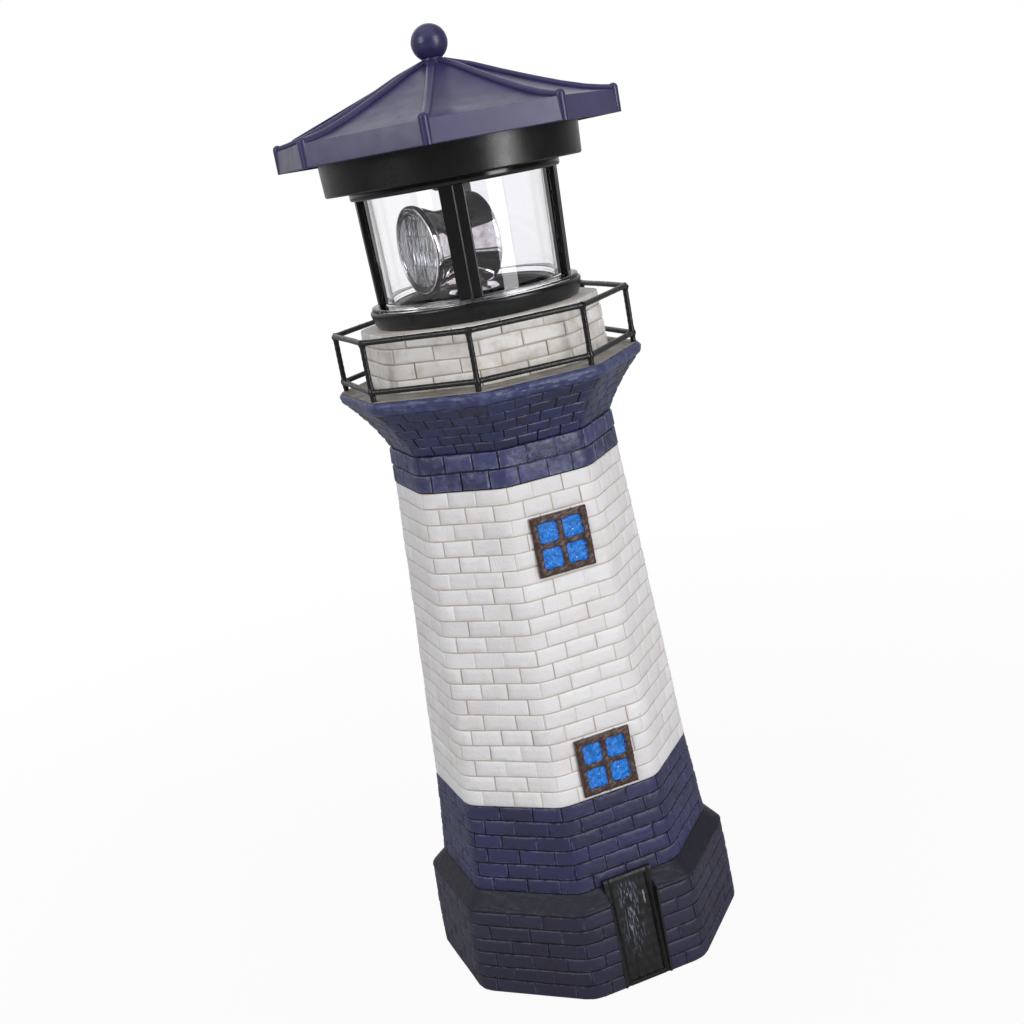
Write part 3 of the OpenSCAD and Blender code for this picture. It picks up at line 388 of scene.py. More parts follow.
@dataclass(frozen=True)
class Finish:
    """A finish: a principled surface that a subclass dresses with its own pattern."""

    name: str

    def material(self) -> bpy.types.Material:
        """The material of this finish, made once.

        Returns:
            The material.
        """
        found = bpy.data.materials.get(self.name)
        if found:
            return found
        made = bpy.data.materials.new(self.name)
        made.use_nodes = True
        tree = made.node_tree
        tree.nodes.clear()
        shader = node(tree, "BsdfPrincipled")
        output = node(tree, "OutputMaterial", None, {"Surface": shader.outputs[0]})
        output.is_active_output = True
        self.dress(tree, shader)
        return made

    def dress(self, tree: bpy.types.NodeTree, shader: bpy.types.Node) -> None:
        """Gives the shader its colours, gloss and bump.

        Args:
            tree: The material's node tree.
            shader: Its principled shader.
        """

    @staticmethod
    def noise(tree: bpy.types.NodeTree, size_mm: float, detail: float = 3.0,
              stretch: tuple = (1, 1, 1)) -> bpy.types.NodeSocket:
        """Cloudy noise on object coordinates.

        Args:
            tree: The material's node tree.
            size_mm: Size of its features.
            detail: Number of finer layers.
            stretch: Factors on the coordinates; a smaller one makes the features longer.

        Returns:
            The noise, 0..1.
        """
        place = node(tree, "TexCoord")
        scaled = node(tree, "Mapping", None, {"Vector": place.outputs["Object"], "Scale": stretch})
        return node(tree, "TexNoise", None, {"Vector": scaled.outputs[0], "Scale": 1 / (size_mm * MM),
                                             "Detail": detail, "Roughness": 0.55}).outputs["Fac"]

    @staticmethod
    def ramp(tree: bpy.types.NodeTree, value: bpy.types.NodeSocket, low: float, high: float,
             to_low: float = 0.0, to_high: float = 1.0) -> bpy.types.NodeSocket:
        """The value mapped from low..high to to_low..to_high, clamped."""
        return node(tree, "MapRange", None, {"Value": value, "From Min": low, "From Max": high,
                                             "To Min": to_low, "To Max": to_high}).outputs[0]

    @staticmethod
    def mix(tree: bpy.types.NodeTree, factor: bpy.types.NodeSocket | float, a: object,
            b: object) -> bpy.types.NodeSocket:
        """Colour a where factor is 0 and b where it is 1, and between them (1 - factor) a + factor b.

        Args:
            tree: The material's node tree.
            factor: The share of b.
            a: A socket or a hex colour.
            b: A socket or a hex colour.

        Returns:
            The mixed colour.
        """
        made = node(tree, "Mix", {"data_type": "RGBA"}, {0: factor})
        for index, colour in ((6, a), (7, b)):
            if isinstance(colour, str):
                made.inputs[index].default_value = linear(colour)
            else:
                tree.links.new(colour, made.inputs[index])
        return made.outputs[2]

    @staticmethod
    def bump(tree: bpy.types.NodeTree, shader: bpy.types.Node, height: bpy.types.NodeSocket, depth_mm: float,
             strength: float = 0.6) -> None:
        """Bumps the shader by height times depth_mm."""
        made = node(tree, "Bump", None, {"Height": height, "Distance": depth_mm * MM, "Strength": strength})
        tree.links.new(made.outputs[0], shader.inputs["Normal"])

    @staticmethod
    def attribute(tree: bpy.types.NodeTree, name: str) -> bpy.types.NodeSocket:
        """A point attribute of the piece."""
        return node(tree, "Attribute", {"attribute_name": name}).outputs["Fac"]


@dataclass(frozen=True)
class BrickPaint(Finish):
    """Hand-painted cast polyresin brickwork. The paint is satin, each brick has its own tone, the joints hold a dark or
    tan wash, and the bricks' edges are paler: a dry brush of paint together with painted highlight where light would
    catch
    them. Attributes, 0..1: joint in the grooves, tone per brick, edge."""

    light: str
    dark: str
    joint: str
    edge: str
    blotch: str
    # Share of the paler edge colour, which is a dry brush and painted highlight on the brick edges.
    brush_and_highlight_share: float = 0.5
    blotch_share: float = 0.35
    roughness: float = 0.42
    blotch_mm: float = 9.0
    grain_mm: float = 1.6

    def dress(self, tree: bpy.types.NodeTree, shader: bpy.types.Node) -> None:
        """Tone per brick, cloudy blotches, paler edges (dry brush and painted highlight), washed joints.

        Args:
            tree: The material's node tree.
            shader: Its principled shader.
        """
        tone = self.mix(tree, self.attribute(tree, "tone"), self.dark, self.light)
        cloud = self.ramp(tree, self.noise(tree, self.blotch_mm, 4), 0.47, 0.7, 0, self.blotch_share)
        tone = self.mix(tree, cloud, tone, self.blotch)
        scratch = self.ramp(tree, self.noise(tree, 1.6, 5), 0.42, 0.6)
        # Paler brick edges: a dry brush of paint, and with it painted highlight where the edges would catch the light.
        rim = multiply(tree, multiply(tree, self.attribute(tree, "edge"), scratch), self.brush_and_highlight_share)
        tone = self.mix(tree, rim, tone, self.edge)
        tone = self.mix(tree, self.ramp(tree, self.attribute(tree, "joint"), 0.05, 0.75), tone, self.joint)
        tree.links.new(tone, shader.inputs["Base Color"])
        grain = self.noise(tree, self.grain_mm, 5)
        tree.links.new(self.ramp(tree, grain, 0.3, 0.7, self.roughness - 0.06, self.roughness + 0.12),
                       shader.inputs["Roughness"])
        self.bump(tree, shader, grain, 0.35, 0.55)
        shader.inputs["IOR"].default_value = 1.5


@dataclass(frozen=True)
class BrushPaint(Finish):
    """Acrylic paint brushed over cast resin in two colours, with streaks of the second along the brush."""

    base: str
    streak: str
    streak_mm: tuple[float, float, float] = (3.0, 3.0, 14.0)
    share: float = 0.5
    start: float = 0.55
    roughness: float = 0.4
    relief_mm: float = 0.3
    mask: str = ""

    def dress(self, tree: bpy.types.NodeTree, shader: bpy.types.Node) -> None:
        """Streaks stretched along the brush, only where the mask attribute allows them, and brush marks in relief.

        Args:
            tree: The material's node tree.
            shader: Its principled shader.
        """
        stretch = tuple(self.streak_mm[0] / s for s in self.streak_mm)
        streaks = self.noise(tree, self.streak_mm[0], 6, stretch)
        share = self.ramp(tree, streaks, self.start, self.start + 0.08, 0, self.share)
        if self.mask:
            share = multiply(tree, share, self.attribute(tree, self.mask))
        tree.links.new(self.mix(tree, share, self.base, self.streak), shader.inputs["Base Color"])
        marks = self.noise(tree, 1.1, 4, stretch)
        tree.links.new(self.ramp(tree, marks, 0.3, 0.7, self.roughness - 0.08, self.roughness + 0.15),
                       shader.inputs["Roughness"])
        self.bump(tree, shader, marks, self.relief_mm, 0.7)
        shader.inputs["IOR"].default_value = 1.5


@dataclass(frozen=True)
class MouldedPlastic(Finish):
    """Injection-moulded plastic. Its gloss comes from the tool, and flow marks move its tone and gloss a little."""

    colour: str
    flow: str
    sheen: Sheen = Sheen.SATIN
    ior: float = 1.52
    grain_mm: float = 1.2
    relief_mm: float = 0.02

    def dress(self, tree: bpy.types.NodeTree, shader: bpy.types.Node) -> None:
        """Flow marks some 20 mm long in the colour, a fine grain in the relief, faint rub marks in the gloss.

        Args:
            tree: The material's node tree.
            shader: Its principled shader.
        """
        flow = self.ramp(tree, self.noise(tree, 16, 2, (1, 1, 0.4)), 0.35, 0.68)
        tree.links.new(self.mix(tree, flow, self.colour, self.flow), shader.inputs["Base Color"])
        rubs = self.ramp(tree, self.noise(tree, 5, 6), 0.35, 0.75, self.sheen.value * 0.9, self.sheen.value * 1.2)
        tree.links.new(rubs, shader.inputs["Roughness"])
        self.bump(tree, shader, self.noise(tree, self.grain_mm, 3), self.relief_mm, 0.5)
        shader.inputs["IOR"].default_value = self.ior


@dataclass(frozen=True)
class Metal(Finish):
    """Bare or plated metal, with its tool marks as fine bands and a little tarnish in the gloss."""

    colour: str
    tarnish: str
    roughness: float = 0.2
    marks_mm: float = 0.5

    def dress(self, tree: bpy.types.NodeTree, shader: bpy.types.Node) -> None:
        """Bands across Z from the tool, cloudy tarnish.

        Args:
            tree: The material's node tree.
            shader: Its principled shader.
        """
        cloud = self.ramp(tree, self.noise(tree, 3, 4), 0.4, 0.7)
        tree.links.new(self.mix(tree, cloud, self.colour, self.tarnish), shader.inputs["Base Color"])
        shader.inputs["Metallic"].default_value = 1.0
        tree.links.new(self.ramp(tree, cloud, 0, 1, self.roughness, self.roughness * 1.5), shader.inputs["Roughness"])
        self.bump(tree, shader, self.noise(tree, self.marks_mm, 2, (0.2, 0.2, 1)), 0.01, 0.4)


@dataclass(frozen=True)
class ClearPlastic(Finish):
    """Clear moulded polystyrene: almost colourless, with faint flow lines that bend the light."""

    tint: str
    ior: float = 1.5
    roughness: float = 0.0
    relief_mm: float = 0.02
    wave_mm: float = 14.0

    def dress(self, tree: bpy.types.NodeTree, shader: bpy.types.Node) -> None:
        """Full transmission; the flow lines stand upright, as the mould filled from the foot.

        Args:
            tree: The material's node tree.
            shader: Its principled shader.
        """
        flow = self.noise(tree, self.wave_mm, 2, (1, 1, 0.15))
        tree.links.new(self.mix(tree, self.ramp(tree, flow, 0.3, 0.7), self.tint, "#ffffff"),
                       shader.inputs["Base Color"])
        shader.inputs["Transmission Weight"].default_value = 1.0
        shader.inputs["IOR"].default_value = self.ior
        shader.inputs["Roughness"].default_value = self.roughness
        self.bump(tree, shader, flow, self.relief_mm, 0.4)


@dataclass(frozen=True)
class SolarCell(Finish):
    """Polycrystalline silicon under a smooth resin cover: dark blue grains some 4 mm across. Attribute line 0..1 on the
    printed silver fingers and bus bars."""

    def dress(self, tree: bpy.types.NodeTree, shader: bpy.types.Node) -> None:
        """Voronoi grains in three blues, silver where the line attribute is set, and a clear coat.

        Args:
            tree: The material's node tree.
            shader: Its principled shader.
        """
        place = node(tree, "TexCoord").outputs["Object"]
        grains = node(tree, "TexVoronoi", None, {"Vector": place, "Scale": 1 / (4 * MM)}).outputs["Color"]
        parts = node(tree, "SeparateColor", None, {0: grains}).outputs
        blue = self.mix(tree, parts[0], "#10183a", "#22326b")
        blue = self.mix(tree, self.ramp(tree, parts[1], 0.7, 1, 0, 0.5), blue, "#3a4a80")
        colour = self.mix(tree, self.attribute(tree, "line"), blue, "#a9adb5")
        tree.links.new(colour, shader.inputs["Base Color"])
        tree.links.new(self.ramp(tree, parts[2], 0, 1, 0.22, 0.4), shader.inputs["Roughness"])
        shader.inputs["Coat Weight"].default_value = 1.0
        shader.inputs["Coat Roughness"].default_value = 0.06


@dataclass(frozen=True)
class Glazing(Finish):
    """The window panes' paint: bright blue gloss acrylic dabbed over rough resin, with pale scuffs."""

    base: str
    dark: str
    scuff: str

    def dress(self, tree: bpy.types.NodeTree, shader: bpy.types.Node) -> None:
        """Dabs 1.3 mm across in two blues and in relief, and finer pale scuffs.

        Args:
            tree: The material's node tree.
            shader: Its principled shader.
        """
        dabs = self.noise(tree, 1.3, 5)
        colour = self.mix(tree, self.ramp(tree, dabs, 0.35, 0.6), self.dark, self.base)
        scuff = self.ramp(tree, self.noise(tree, 0.9, 6), 0.6, 0.7, 0, 0.4)
        tree.links.new(self.mix(tree, scuff, colour, self.scuff), shader.inputs["Base Color"])
        shader.inputs["Roughness"].default_value = 0.22
        self.bump(tree, shader, dabs, 0.7, 0.9)
        shader.inputs["IOR"].default_value = 1.5


# The fourth colour of each brickwork is its paler edge: a dry brush of paint and painted highlight on the brick edges.
WHITE_BRICK = BrickPaint("white paint on cast resin", "#dcdbdd", "#d2d0d2", "#a99a87", "#ebeaeb", "#cec8c3", 0.4, 0.35,
                         0.5, 12, 0.9)
DRUM_BRICK = BrickPaint("dusty white paint on cast resin", "#dedcda", "#cfccc9", "#9c886c", "#e6e5e4", "#a69c8e", 0.4,
                        0.5, 0.55, 5, 1.2)
BLUE_BRICK = BrickPaint("navy paint on cast resin", "#292c55", "#212346", "#07070c", "#70759f", "#27203a", 0.5, 0.6,
                        0.42, 11)
NECK_BRICK = BrickPaint("navy paint with a dry brush of lilac", "#3b3f68", "#272849", "#08080d", "#8a8db2", "#5a5f88",
                        0.5, 0.6, 0.34, 2.6, 1.1)
CORBEL_BRICK = BrickPaint("navy paint on the corbel", "#252a50", "#201f3b", "#07070c", "#666e98", "#2f3c72", 0.35, 0.5,
                          0.34, 10)
EDGE_PAINT = BrickPaint("navy paint brushed thin over the gallery edge", "#363c66", "#2b2f55", "#2c2a20", "#8e93b4",
                        "#5b6288", 0.6, 0.6, 0.36, 3.0, 1.3)
FOOT_BRICK = BrickPaint("purple-navy paint on cast resin", "#25233d", "#1d1b32", "#060609", "#5f6286", "#201d30", 0.4,
                        0.6, 0.48, 12)
# The ledge's paint is darker than the plinth's. This is painted shade for the shadow that the ledge lies in.
LEDGE_SHADED_PAINT = BrickPaint("purple-navy paint on the ledge, darkened as painted shade", "#15132a", "#100f20", "#060609", "#4c4a68", "#12101e",
                         0.3, 0.6, 0.52, 12)
DECK_STONE = BrickPaint("grey wash on cast resin", "#a19e98", "#7f7c75", "#3a372f", "#bdbab4", "#665e48", 0.5, 0.75,
                        0.55, 5)
FRAME_PAINT = BrushPaint("brown paint on window frames", "#38241f", "#644a3e", (1.0, 1.0, 1.6), 0.5, 0.5, 0.32, 0.4)
PANE_PAINT = Glazing("blue paint on panes", "#1480e4", "#0c5ca6", "#5cb0f0")
DOOR_PAINT = BrushPaint("black paint on the door", "#08080a", "#7e859b", (0.42, 0.42, 4.2), 0.75, 0.52, 0.38, 0.5,
                        "dry")
DOOR_TRIM = BrushPaint("black paint round the door", "#09090b", "#17171c", (2.0, 2.0, 9.0), 0.5, 0.58, 0.38)
HANDLE_PAINT = BrushPaint("silver paint on the handle", "#85868c", "#3a3b41", (1.2, 1.2, 1.2), 0.6, 0.5, 0.4)
RAIL_ENAMEL = BrushPaint("black enamel on wire", "#070708", "#0d0d0f", (2.0, 2.0, 2.0), 0.5, 0.5, 0.28, 0.05)
BLACK_GLOSS = MouldedPlastic("black ABS moulding", "#050506", "#08080a", Sheen.GLOSS, 1.53, 2.0, 0.02)
BLACK_SATIN = MouldedPlastic("black satin ABS moulding", "#050506", "#09090b", Sheen.SATIN, 1.53, 1.6, 0.05)
ROOF_PLASTIC = MouldedPlastic("navy ABS moulding", "#2c2950", "#322f59", Sheen.SEMI, 1.52, 2.5, 0.015)
CLEAR_PANE = ClearPlastic("clear polystyrene pane", "#fafafe")
LAMP_LENS = ClearPlastic("clear polycarbonate lamp lens", "#b9b9c0", 1.58, 0.0, 0.03, 3.0)
CHROME = Metal("chrome plate on ABS", "#dcdadf", "#b3a3a2", 0.04, 2.0)
REFLECTOR = Metal("aluminised reflector", "#e2e3e6", "#cfd0d4", 0.06, 2.0)
BRASS = Metal("turned brass", "#c79a4b", "#9c7433", 0.26)
STEEL = Metal("zinc-plated steel", "#b4b7bb", "#8f9297", 0.28)
BRIGHT_STEEL = Metal("ground steel shaft", "#c9ccd0", "#b0b3b8", 0.15, 0.3)
CONTACT = Metal("nickel-plated contact", "#cfd0cc", "#aeb0ad", 0.2)
NYLON = MouldedPlastic("natural nylon gear", "#ecebe2", "#e2e0d4", Sheen.SATIN, 1.53)
BOARD = MouldedPlastic("green soldermask on glass epoxy", "#1f6a3c", "#2a7a48", Sheen.SATIN, 1.55, 0.8)
LED_RESIN = ClearPlastic("milky epoxy light-emitting diode", "#f2eeda", 1.5, 0.35, 0.01, 2.0)
CARBON = MouldedPlastic("pressed carbon and phenolic", "#26262a", "#303036", Sheen.MATT)
WRAP = MouldedPlastic("shrink film on a cell", "#2d7a4b", "#266a41", Sheen.GLOSS)
KNOB = MouldedPlastic("grey acetal knob", "#cfcfca", "#c3c3be", Sheen.SATIN)
RED_LEAD = MouldedPlastic("red PVC insulation", "#b0332a", "#9c2b24", Sheen.SATIN)
BLACK_LEAD = MouldedPlastic("black PVC insulation", "#1b1c20", "#26272c", Sheen.SATIN)
SCREW_BLACK = Metal("blackened steel screw", "#2c2c30", "#3a3a3e", 0.3)
CELL = SolarCell("polycrystalline solar cell")

CARRIED: dict[str, Finish] = {
    "spindle_bush": BRASS, "collar_housing": BLACK_SATIN, "roof_screws": SCREW_BLACK, "lip_screws": STEEL,
    "beacon_spindle": BRIGHT_STEEL, "turntable": CHROME, "led_board": BOARD, "led_front": LED_RESIN,
    "led_rear": LED_RESIN, "reflector_front": REFLECTOR, "reflector_rear": REFLECTOR, "slip_rings": BRASS,
    "output_gear": NYLON, "gear_plate": NYLON, "plate_screws": SCREW_BLACK, "idler_axle": BRIGHT_STEEL,
    "idler_gear": NYLON, "motor": STEEL, "motor_shaft": BRIGHT_STEEL, "motor_pinion": NYLON, "brush_block": CARBON,
    "battery_cell": WRAP, "battery_holder": BLACK_SATIN, "battery_spring": CONTACT, "battery_plate": CONTACT,
    "circuit_board": BOARD, "switch_body": BLACK_SATIN, "switch_knob": KNOB, "housing_cover": BLACK_SATIN,
    "cover_screws": STEEL, "panel_leads": RED_LEAD, "drive_leads": BLACK_LEAD,
}


# ---------------------------------------------------------------- tower


CASTING = Role("tower", "tower", "cast_resin")
OPENING_SHARP = math.radians(50)


@dataclass(frozen=True)
class Level:
    """A level of the tower's wall: the corner radius of its octagon and its height."""

    r: float
    z: float

    def inset(self, wall: float) -> "Level":
        """The same level inside a wall of the given thickness, measured at the corners."""
        return Level(self.r - wall, self.z)


def front_y(low: Level, high: Level, z: np.ndarray | float) -> np.ndarray | float:
    """The y of the front face at height z, on the straight line between two levels."""
    return -(low.r - (z - low.z) * (low.r - high.r) / (high.z - low.z)) * math.cos(HALF_SIDE)


@dataclass
class Doorway:
    """The sunk place of the door: a plane that leans from foot_y at the ground back to head_y at its full height."""

    foot_y: float
    head_y: float
    x_mid: float = -0.6
    width: float = 15.2
    height: float = 35.4

    @property
    def columns(self) -> list[float]:
        """Where the wall's columns must stand, so that the doorway's sides are upright."""
        return [self.x_mid + side * (self.width / 2 + gap) for side in (-1, 1) for gap in (0.15, 0.5)]

    def face(self, z: np.ndarray) -> np.ndarray:
        """The door plane's y at height z."""
        return self.foot_y + (self.head_y - self.foot_y) * z / self.height

    def sink(self, points: np.ndarray) -> np.ndarray:
        """Moves wall points that lie before the door to a little behind its plane.

        Args:
            points: Points (..., 3) of the wall.

        Returns:
            The points, with y at least face(z) + behind where the door stands.
        """
        x, y, z = points[..., 0], points[..., 1], points[..., 2]
        side_gap, behind = 0.3, 0.9
        inside = (np.abs(x - self.x_mid) < self.width / 2 + side_gap) & (y < 0) & (z < self.height)
        sunk = np.where(inside, np.maximum(y, self.face(z) + behind), y)
        return np.stack([x, sunk, z], -1)


@dataclass
class Courses:
    """A belt of brick courses on an octagonal wall: outer skin with its joints, inner skin, and flat ends."""

    name: str
    low: Level
    high: Level
    count: int
    finish: BrickPaint
    seed: int
    per_side: int = 3
    rounding: float = 8.0
    joint_w: float = 0.55
    joint_depth: float = 0.42
    wobble: float = 0.22
    shift: float = 0.8
    unevenness: float = 0.1
    inside: list[Level] = field(default_factory=list)
    inside_round: bool = False
    bow: float = 0.0
    bed_strength: float = 0.85
    end_strength: tuple[float, float] = (0.45, 1.0)
    doorway: Doorway | None = None

    @property
    def side_mm(self) -> float:
        """Length of a side half-way up."""
        return (self.low.r + self.high.r) * math.sin(HALF_SIDE)

    @property
    def course_mm(self) -> float:
        """Height of a course."""
        return (self.high.z - self.low.z) / self.count

    def _groove(self, away: np.ndarray) -> np.ndarray:
        """1 in the middle of a joint, falling smoothly to 0 at 0.9 joint widths from it."""
        return 1 - smoothstep(0.2, 0.9, away)

    def _arris(self, away: np.ndarray) -> np.ndarray:
        """1 at a joint, falling smoothly to 0 at 1.7 joint widths from it, where the brick's rounded edge ends."""
        return 1 - smoothstep(0.6, 1.7, away)

    def _columns(self) -> tuple[np.ndarray, np.ndarray, np.ndarray]:
        """Where the columns of the skin stand: close together at each joint and one half-way between joints.

        Returns:
            Half-brick number, offset in millimetres and share of the way to the next half brick, for each column.
        """
        halves = 2 * self.per_side * SIDES
        pitch = self.side_mm / (2 * self.per_side)
        w = self.joint_w
        offsets = np.array([-1.6 * w, -0.8 * w, -0.35 * w, 0.35 * w, 0.8 * w, 1.6 * w, pitch / 2])
        number = np.repeat(np.arange(halves), len(offsets))
        offset = np.tile(offsets, halves)
        if self.doorway:
            edges = np.array(self.doorway.columns) / pitch
            nearest = np.floor(edges)
            number = np.concatenate([number, nearest % halves])
            offset = np.concatenate([offset, (edges - nearest) * pitch])
            order = np.argsort(((number * pitch + offset) + 0.5 * pitch) % (halves * pitch), kind="stable")
            number, offset = number[order].astype(int), offset[order]
        return number, offset, offset / pitch

    def _rows(self) -> tuple[np.ndarray, np.ndarray]:
        """Where the rows of the skin lie: close together at each bed joint and two across the brick's face.

        Returns:
            Course number and height above its bed joint, in millimetres, for each row.
        """
        pitch, w = self.course_mm, self.joint_w
        steps = np.array([0.35 * w, 0.8 * w, 1.6 * w, 0.38 * pitch, 0.62 * pitch, pitch - 1.6 * w, pitch - 0.8 * w,
                          pitch - 0.35 * w])
        return np.repeat(np.arange(self.count), len(steps)), np.tile(steps, self.count)

    def build(self) -> bpy.types.Object:
        """Makes the belt.

        Each joint is a groove whose depth falls off smoothly with the distance from its middle; a course's upright
        joints sit half a brick from the next one's and wander by up to shift; beds wave by wobble.

        Returns:
            The piece.
        """
        rng = np.random.default_rng(self.seed)
        number, offset, share = self._columns()
        course, height = self._rows()
        halves = number.max() + 1
        pitch, side_mm = self.course_mm, self.side_mm
        per_mm = 1 / side_mm
        slide = rng.uniform(-self.shift, self.shift, (self.count, halves))
        strength = rng.uniform(*self.end_strength, (self.count, halves))
        live = (np.arange(halves)[None] + np.arange(self.count)[:, None]) % 2 == 0
        slide = np.where(live, slide, 0.5 * (np.roll(slide, 1, 1) + np.roll(slide, -1, 1)))
        lag = np.clip(share, 0, 1)
        moved = slide[:, number] * (1 - lag) + slide[:, (number + 1) % halves] * lag
        if self.doorway:
            at = ((number + halves / 2) % halves - halves / 2) * side_mm / (2 * self.per_side) + offset
            away = np.abs(at[:, None] - np.array(self.doorway.columns)[None]).min(1)
            moved = moved * np.clip(away / 4, 0, 1)[None]
        place = ((number / (2 * self.per_side))[None] + (offset[None] + moved) * per_mm)[course]
        beside = np.abs(offset) / self.joint_w
        groove = self._groove(beside)[None] * (live * strength)[:, number]
        upright = np.where((np.abs(offset) < self.joint_w * 1.7)[None], groove, 0)[course]
        near = np.minimum(height, pitch - height) / self.joint_w
        angle = place * 2 * math.pi / SIDES
        bed = self._groove(near)[:, None] * (self.bed_strength + 0.15 * waves(angle * 4, self.seed + 1, 9))
        joint = np.maximum(bed, upright)
        soft = np.maximum(self._arris(near)[:, None], (self._arris(beside)[None] * live[:, number])[course])
        brick = (np.cumsum(live, axis=1) - 1) % (halves // 2)
        brick = brick[:, number] - ((offset < 0)[None] & live[:, number])
        tones = rng.uniform(0, 1, (self.count, halves // 2))
        proud = rng.uniform(-1, 1, (self.count, halves // 2))
        rows_of = np.arange(self.count)[:, None]
        tone, lift = tones[rows_of, brick % (halves // 2)][course], proud[rows_of, brick % (halves // 2)][course]
        upper = height > pitch / 2
        at_end = ((course == 0) & ~upper) | ((course == self.count - 1) & upper)
        beds = np.stack([waves(angle[0], self.seed + 7 + k, 6) for k in range(self.count + 1)])
        z = (self.low.z + course * pitch + height)[:, None]
        z = z + self.wobble * beds[np.where(upper, course + 1, course)] * np.where(at_end, 0.0, 1.0)[:, None]
        t = (z - self.low.z) / (self.high.z - self.low.z)
        corner = self.low.r + (self.high.r - self.low.r) * t - self.bow * 4 * t * (1 - t)
        xy, out = octagon(place, corner, self.rounding)
        rough = 0.12 * waves(angle * 7 + z * 0.9, self.seed + 3, 7)
        depth = self.unevenness * lift * (1 - soft) + rough * (1 - joint) - self.joint_depth * joint - 0.12 * soft
        skin = np.concatenate([xy + depth[..., None] * out, z[..., None]], axis=-1)
        flat = place[0] - moved[0] * per_mm
        low, high = (self._ring(flat, level.inset(0.3)) for level in (self.low, self.high))
        if self.doorway:
            skin, low, high = (self.doorway.sink(points) for points in (skin, low, high))
        inner = np.stack([self._ring(flat, level, self.inside_round) for level in self.inside[::-1]])
        points = np.concatenate([low[None], skin, high[None], inner])

        def pad(values: np.ndarray, below: float, above: float) -> np.ndarray:
            """The skin's attribute with a row for the lower end and rows for the upper end and the inside."""
            columns = values.shape[1]
            return np.concatenate([np.full((1, columns), below), values, np.full((1 + len(inner), columns), above)])

        shell = Shell().grid(points, wrap_u=True, wrap_v=True, joint=pad(joint, 1.0, 0.0), tone=pad(tone, 0.5, 0.5),
                             # edge marks where the paler edge colour goes: a dry brush and painted highlight on the
                             # bricks' rounded edges.
                             edge=pad(np.clip(soft - joint, 0, 1), 0.0, 0.0))
        return shell.build(self.name, [self.finish], CASTING)

    def _ring(self, place: np.ndarray, level: Level, circle: bool = False) -> np.ndarray:
        """A level ring of points at the columns' places.

        Args:
            place: Place of each column along the outline, in sides.
            level: Corner radius and height of the ring.
            circle: Whether it follows the circle through the corners and not the octagon.

        Returns:
            Points (n, 3).
        """
        xy, _ = octagon(place, level.r, min(self.rounding, 0.4 * level.r))
        if circle:
            xy = xy / np.linalg.norm(xy, axis=-1, keepdims=True) * level.r
        return np.concatenate([xy, np.full((len(place), 1), level.z)], axis=-1)


@dataclass
class Opening:
    """A painted relief on the front face: a sheet of heights over a rectangle with its sides let into the wall.

    Heights are worked out at grid points as functions of x across and z up, both from the lower left corner."""

    name: str
    width: float
    height: float
    x_mid: float
    z_foot: float
    y_face: float
    lean: float
    sunk: float = 1.0

    def sheet(self, x: np.ndarray, z: np.ndarray, relief: np.ndarray, slots: np.ndarray, **values: np.ndarray) -> Shell:
        """Lays the heights on the wall, carries the border back into it and closes the back.

        Args:
            x: Grid lines across.
            z: Grid lines up.
            relief: Height out of the wall at (z, x).
            slots: Material number of each cell, shape (rows - 1, columns - 1).
            values: Point attributes of the face.

        Returns:
            The shell.
        """
        xs, zs = np.meshgrid(x, z)
        face = self._place(xs, relief, zs)
        back = self._place(xs, relief * 0 - self.sunk, zs)
        shell = Shell().grid(face, slot=slots, **values)
        shell.grid(np.stack([border(back), border(face)]), wrap_u=True)
        corners = np.array([[back[0, 0], back[0, -1]], [back[-1, 0], back[-1, -1]]])
        return shell.grid(corners, flip=True)

    def _place(self, x: np.ndarray, out: np.ndarray, z: np.ndarray) -> np.ndarray:
        """Wall coordinates to the part's: the wall leans back by lean about its foot, and nothing goes below z 0.

        Args:
            x: Distance across from the lower left corner.
            out: Height out of the wall.
            z: Distance up from the lower left corner.

        Returns:
            Points (..., 3).
        """
        c, s = math.cos(self.lean), math.sin(self.lean)
        up = np.maximum(self.z_foot + z * c + out * s, 0)
        return np.stack([self.x_mid - self.width / 2 + x, self.y_face + z * s - out * c, up], -1)


def lines(length: float, step: float, edges: list[float], near: float) -> np.ndarray:
    """Grid lines from 0 to length: even steps, with a pair at each edge, and none nearer to an edge than the pair.

    Args:
        length: The last line.
        step: About the distance between two lines.
        edges: Places that need a sharp step.
        near: Distance of a pair's lines from their edge.

    Returns:
        The lines in order.
    """
    even = np.linspace(0, length, int(length / step) + 1)
    clear = np.abs(even[:, None] - np.array(edges)[None]).min(1) > 1.6 * near
    return np.unique(np.round(np.concatenate([even[clear], [0, length], np.array(edges) - near,
                                              np.array(edges) + near]), 4))


